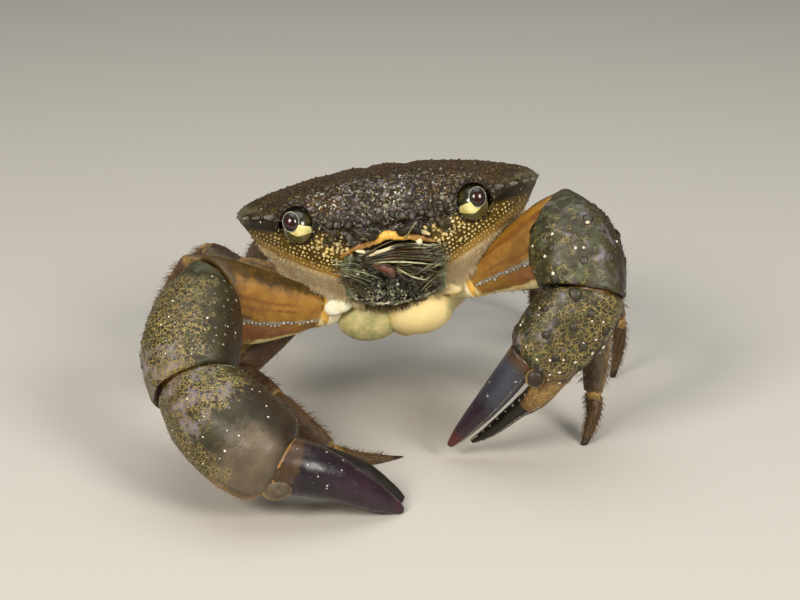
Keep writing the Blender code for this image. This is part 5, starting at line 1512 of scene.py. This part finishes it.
# white grains in a line down the lighter claw's fingers, and its teeth
found = []
run = smoothRun(minor["moving"], 20)
for i in range(60):
    at = 0.1 + 0.0135 * i
    spot = onRun(run, at)
    hit, normal, _, _ = surfaces["minorFinger"].ray_cast(Vector(spot), Vector((0.5, -0.86, 0.0)))
    if hit is not None:
        found.append((hit, normal, draw.uniform(0.09, 0.16), 0.14, draw.uniform(0.6, 1)))
run = smoothRun(minor["fixed"], 20)
for i in range(34):
    at = 0.3 + 0.02 * i
    spot = onRun(run, at)
    for way, size in (((0.35, -0.9, -0.3), draw.uniform(0.1, 0.24)),
                      ((-0.75, -0.45, 0.45), 0.6 - 0.35 * at)):
        if size > 0.3 and i % 4:
            continue
        hit, normal, _, _ = surfaces["minorPalm"].ray_cast(Vector(spot), Vector(way))
        if hit is not None:
            found.append((hit, normal, size, size * 1.1, draw.uniform(0.5, 1) if size < 0.3 else 0.35))
plant("fingerGrains", granule, found, limbWarts, limbPlace)
print("claw granules planted")


# Setae, as fine closed spikes

# where the ten points of a seta lie in its patch of the map
setaPatch = ((0, 0), (1, 0), (0.5, 0.3), (0, 0.4), (1, 0.4), (0.5, 0.6), (0.2, 0.7), (0.8, 0.7), (0.5, 0.8),
             (0.5, 1.0))


def plantSetae(name, roots, ways, lengths, radii, sags, patches, finish, matrix):
    # each seta is a curved spike of two three-sided lengths and a tip; OFBake gives each a small patch
    roots, ways = np.asarray(roots, float), unit(ways)
    count = len(roots)
    side = unit(np.cross(ways, draw.normal(size=(count, 3))))
    other = np.cross(ways, side)
    lengths, radii = np.asarray(lengths, float)[:, None], np.asarray(radii, float)[:, None]
    rings = []
    for share, thick in ((-0.12, 1.0), (0.35, 0.8), (0.72, 0.5)):
        centre = roots + ways * lengths * share + np.asarray(sags) * lengths * max(share, 0) ** 2
        for k in range(3):
            turn = math.tau * k / 3
            rings.append(centre + radii * thick * (side * math.cos(turn) + other * math.sin(turn)))
    rings.append(roots + ways * lengths + np.asarray(sags) * lengths)
    one = [(0, 2, 1)]
    for row in (0, 3):
        one += [(row + k, row + (k + 1) % 3, row + 3 + (k + 1) % 3, row + 3 + k) for k in range(3)]
    one += [(6 + k, 6 + (k + 1) % 3, 9) for k in range(3)]
    piece = manyCopies(name, np.stack(rings, axis=1), one)
    spots = (np.asarray(patches, float)[:, None] + np.array(setaPatch)[None] * 0.003).reshape(-1, 2)
    corners = np.empty(len(piece.data.loops), np.int32)
    piece.data.loops.foreach_get("vertex_index", corners)
    layer = piece.data.uv_layers.new(name="OFBake")
    layer.data.foreach_set("uv", spots[corners].ravel().astype(np.float32))
    paint(piece, "tip", np.tile((0, 0, 0, 0.5, 0.5, 0.5, 0.8, 0.8, 0.8, 1.0), count))
    paint(piece, "shade", np.repeat(draw.uniform(0.3, 1, count), len(rings)))
    return place(piece, matrix, finish, ())


# the fringe along the lower edge of each cheek
fringe = {
    # count a side, band over the lower edge, length and how far each hangs down
    "plush": (3900, (0.2, 4.9), (0.55, 1.15), 0.5), "hem": (1250, (0.0, 0.9), (1.5, 2.7), 1.25),
    "reach": (8.0, 39.0), "radius": 0.06,
}
roots, ways, patches, lengths = [], [], [], []
for kind in ("plush", "hem"):
    count, band, length, hang = fringe[kind]
    for side in (-1, 1):
        for _ in range(count):
            x, lift = draw.uniform(*fringe["reach"]), draw.uniform(*band)
            z = body["edgeBottom"] + body["edgeSlope"] * x + lift
            hit, normal, _, _ = bodySurface.ray_cast(Vector((side * x, -60, z)), Vector(back))
            if hit is None or hit.y > 0:
                continue
            roots.append(tuple(hit))
            hanging = np.array(normal) * 0.7 + (side * 0.45 * hang, 0, -hang)
            ways.append(hanging + draw.normal(scale=0.16, size=3))
            lengths.append(draw.uniform(*length))
            patches.append(((x - 7) / 33 * 0.46 + (0.02 if side < 0 else 0.52), 0.05 + lift / 5 * 0.4))
plantSetae("cheekFringe", roots, ways, lengths, [fringe["radius"]] * len(roots), (0, 0, -0.2), patches,
           setaeFinish, bodyPlace)

# short dark setae along the bottom of the mouth
roots, ways, patches = [], [], []
run = smoothRun([(-8.5, -19.2, -23.0), (-1.0, -19.4, -24.2), (5.0, -18.8, -23.0), (12.0, -20.4, -19.2)], 8)
for i in range(420):
    share = draw.uniform()
    roots.append(onRun(run, share) + draw.normal(scale=0.3, size=3))
    ways.append(np.array((0.1, -0.75, -0.7)) + draw.normal(scale=0.2, size=3))
    patches.append((0.02 + 0.9 * share, 0.1 + 0.3 * draw.uniform()))
plantSetae("mouthFringe", roots, ways, draw.uniform(1.2, 2.4, len(roots)), [0.07] * len(roots),
           (0, 0, -0.2), patches, darkSetaeFinish, bodyPlace)

# short sparse setae on the claws, each limb with its own field of patches
clawHair = (
    ("majorCarpus", 300, (-70, 150)), ("majorPalm", 300, (-70, 150)), ("majorMerus", 160, (190, 260)),
    ("minorCarpus", 260, (-30, 220)), ("minorPalm", 260, (-10, 220)), ("minorMerus", 160, (-90, -10)),
)
roots, ways, patches = [], [], []
for field, (name, count, angles) in enumerate(clawHair):
    for _ in range(count):
        at, turn = draw.uniform(0.05, 0.95), draw.uniform(*angles)
        hit, normal = limbSpot(name, at, turn)
        if hit is None or hit.z < 3:
            continue
        roots.append(tuple(hit))
        ways.append(np.array(normal) + 0.5 * frames[name]["axis"] + draw.normal(scale=0.2, size=3))
        patches.append((0.33 * (field % 3) + 0.3 * ((turn / 360) % 1), 0.5 * (field // 3) + 0.45 * at))
plantSetae("clawSetae", roots, ways, draw.uniform(0.6, 1.3, len(roots)), [0.035] * len(roots), (0, 0, -0.1),
           patches, legSetaeFinish, limbPlace)

# bristles of the legs, thickest on the feet
for tag, rows in hairRows.items():
    roots, normals, axes, lengths, patches = (np.array(column) for column in zip(*rows))
    ways = unit(normals * 0.8 + axes * 0.7 + draw.normal(scale=0.14, size=(len(rows), 3)))
    clear = roots[:, 2] + ways[:, 2] * lengths - 0.1 * lengths > 0.35  # none reaches the floor
    plantSetae(f"legBristles{tag}", roots[clear], ways[clear], lengths[clear],
               draw.uniform(0.05, 0.09, clear.sum()), (0, 0, -0.1), patches[clear], legSetaeFinish,
               limbPlace)
print("setae planted")
for model in (granule, fineGranule, lump, spine):
    bpy.data.objects.remove(model)


# Floor, light and camera

studio = {"floor": "bdbab2", "sweep": 1.9, "wall": 1.3, "lens": 77.97, "at": (0.0032, -0.4348, 0.1997),
          "tilt": 69.0}
deselectAll()
bpy.ops.mesh.primitive_circle_add(vertices=96, radius=studio["sweep"], fill_type="NGON")
floor = bpy.context.object
floor.name = "studioFloor"
bpy.ops.object.mode_set(mode="EDIT")
bpy.ops.mesh.select_all(action="SELECT")
bpy.ops.mesh.extrude_edges_move(TRANSFORM_OT_translate={"value": (0, 0, studio["wall"])})
bpy.ops.mesh.select_all(action="SELECT")
bpy.ops.mesh.normals_make_consistent(inside=True)
bpy.ops.object.mode_set(mode="OBJECT")
useModifier(floor, "BEVEL", {"width": 0.5, "segments": 12, "limit_method": "ANGLE"})
floor.data.shade_smooth()
floorFinish = bpy.data.materials.new("paintedFloor")
floorFinish.use_nodes = True
floorFinish.node_tree.nodes["Principled BSDF"].inputs["Base Color"].default_value = linear(studio["floor"])
floorFinish.node_tree.nodes["Principled BSDF"].inputs["Roughness"].default_value = 0.7
floor.data.materials.append(floorFinish)

lamps = {
    "keyLeft": {"at": (-0.42, -0.62, 0.52), "size": 0.3, "power": 6.4, "colour": "fff6ea"},
    "keyRight": {"at": (0.46, -0.56, 0.5), "size": 0.3, "power": 5.2, "colour": "fff8f0"},
    "top": {"at": (0.0, 0.1, 0.9), "size": 0.9, "power": 3.6, "colour": "ffffff"},
}
for name, plan in lamps.items():
    light = bpy.data.lights.new(name, "AREA")
    light.shape = "DISK"
    light.size = plan["size"]
    light.energy = plan["power"]
    light.color = linear(plan["colour"])[:3]
    lamp = bpy.data.objects.new(name, light)
    lamp.location = plan["at"]
    lamp.rotation_euler = (Vector((0, 0, 0.035)) - Vector(plan["at"])).to_track_quat("-Z", "Y").to_euler()
    bpy.context.scene.collection.objects.link(lamp)
world = bpy.data.worlds.new("studio")
world.use_nodes = True
world.node_tree.nodes["Background"].inputs["Color"].default_value = linear("d4d6d8")
world.node_tree.nodes["Background"].inputs["Strength"].default_value = 0.35
bpy.context.scene.world = world
bpy.context.scene.view_settings.view_transform = "Standard"

cameraData = bpy.data.cameras.new("photoView")
cameraData.lens = studio["lens"]
cameraData.sensor_width = 36.0
cameraData.clip_start = 0.01
camera = bpy.data.objects.new("photoView", cameraData)
camera.location = studio["at"]
camera.rotation_euler = (math.radians(studio["tilt"]), 0, 0)
bpy.context.scene.collection.objects.link(camera)
bpy.context.scene.camera = camera
print("studio ready")
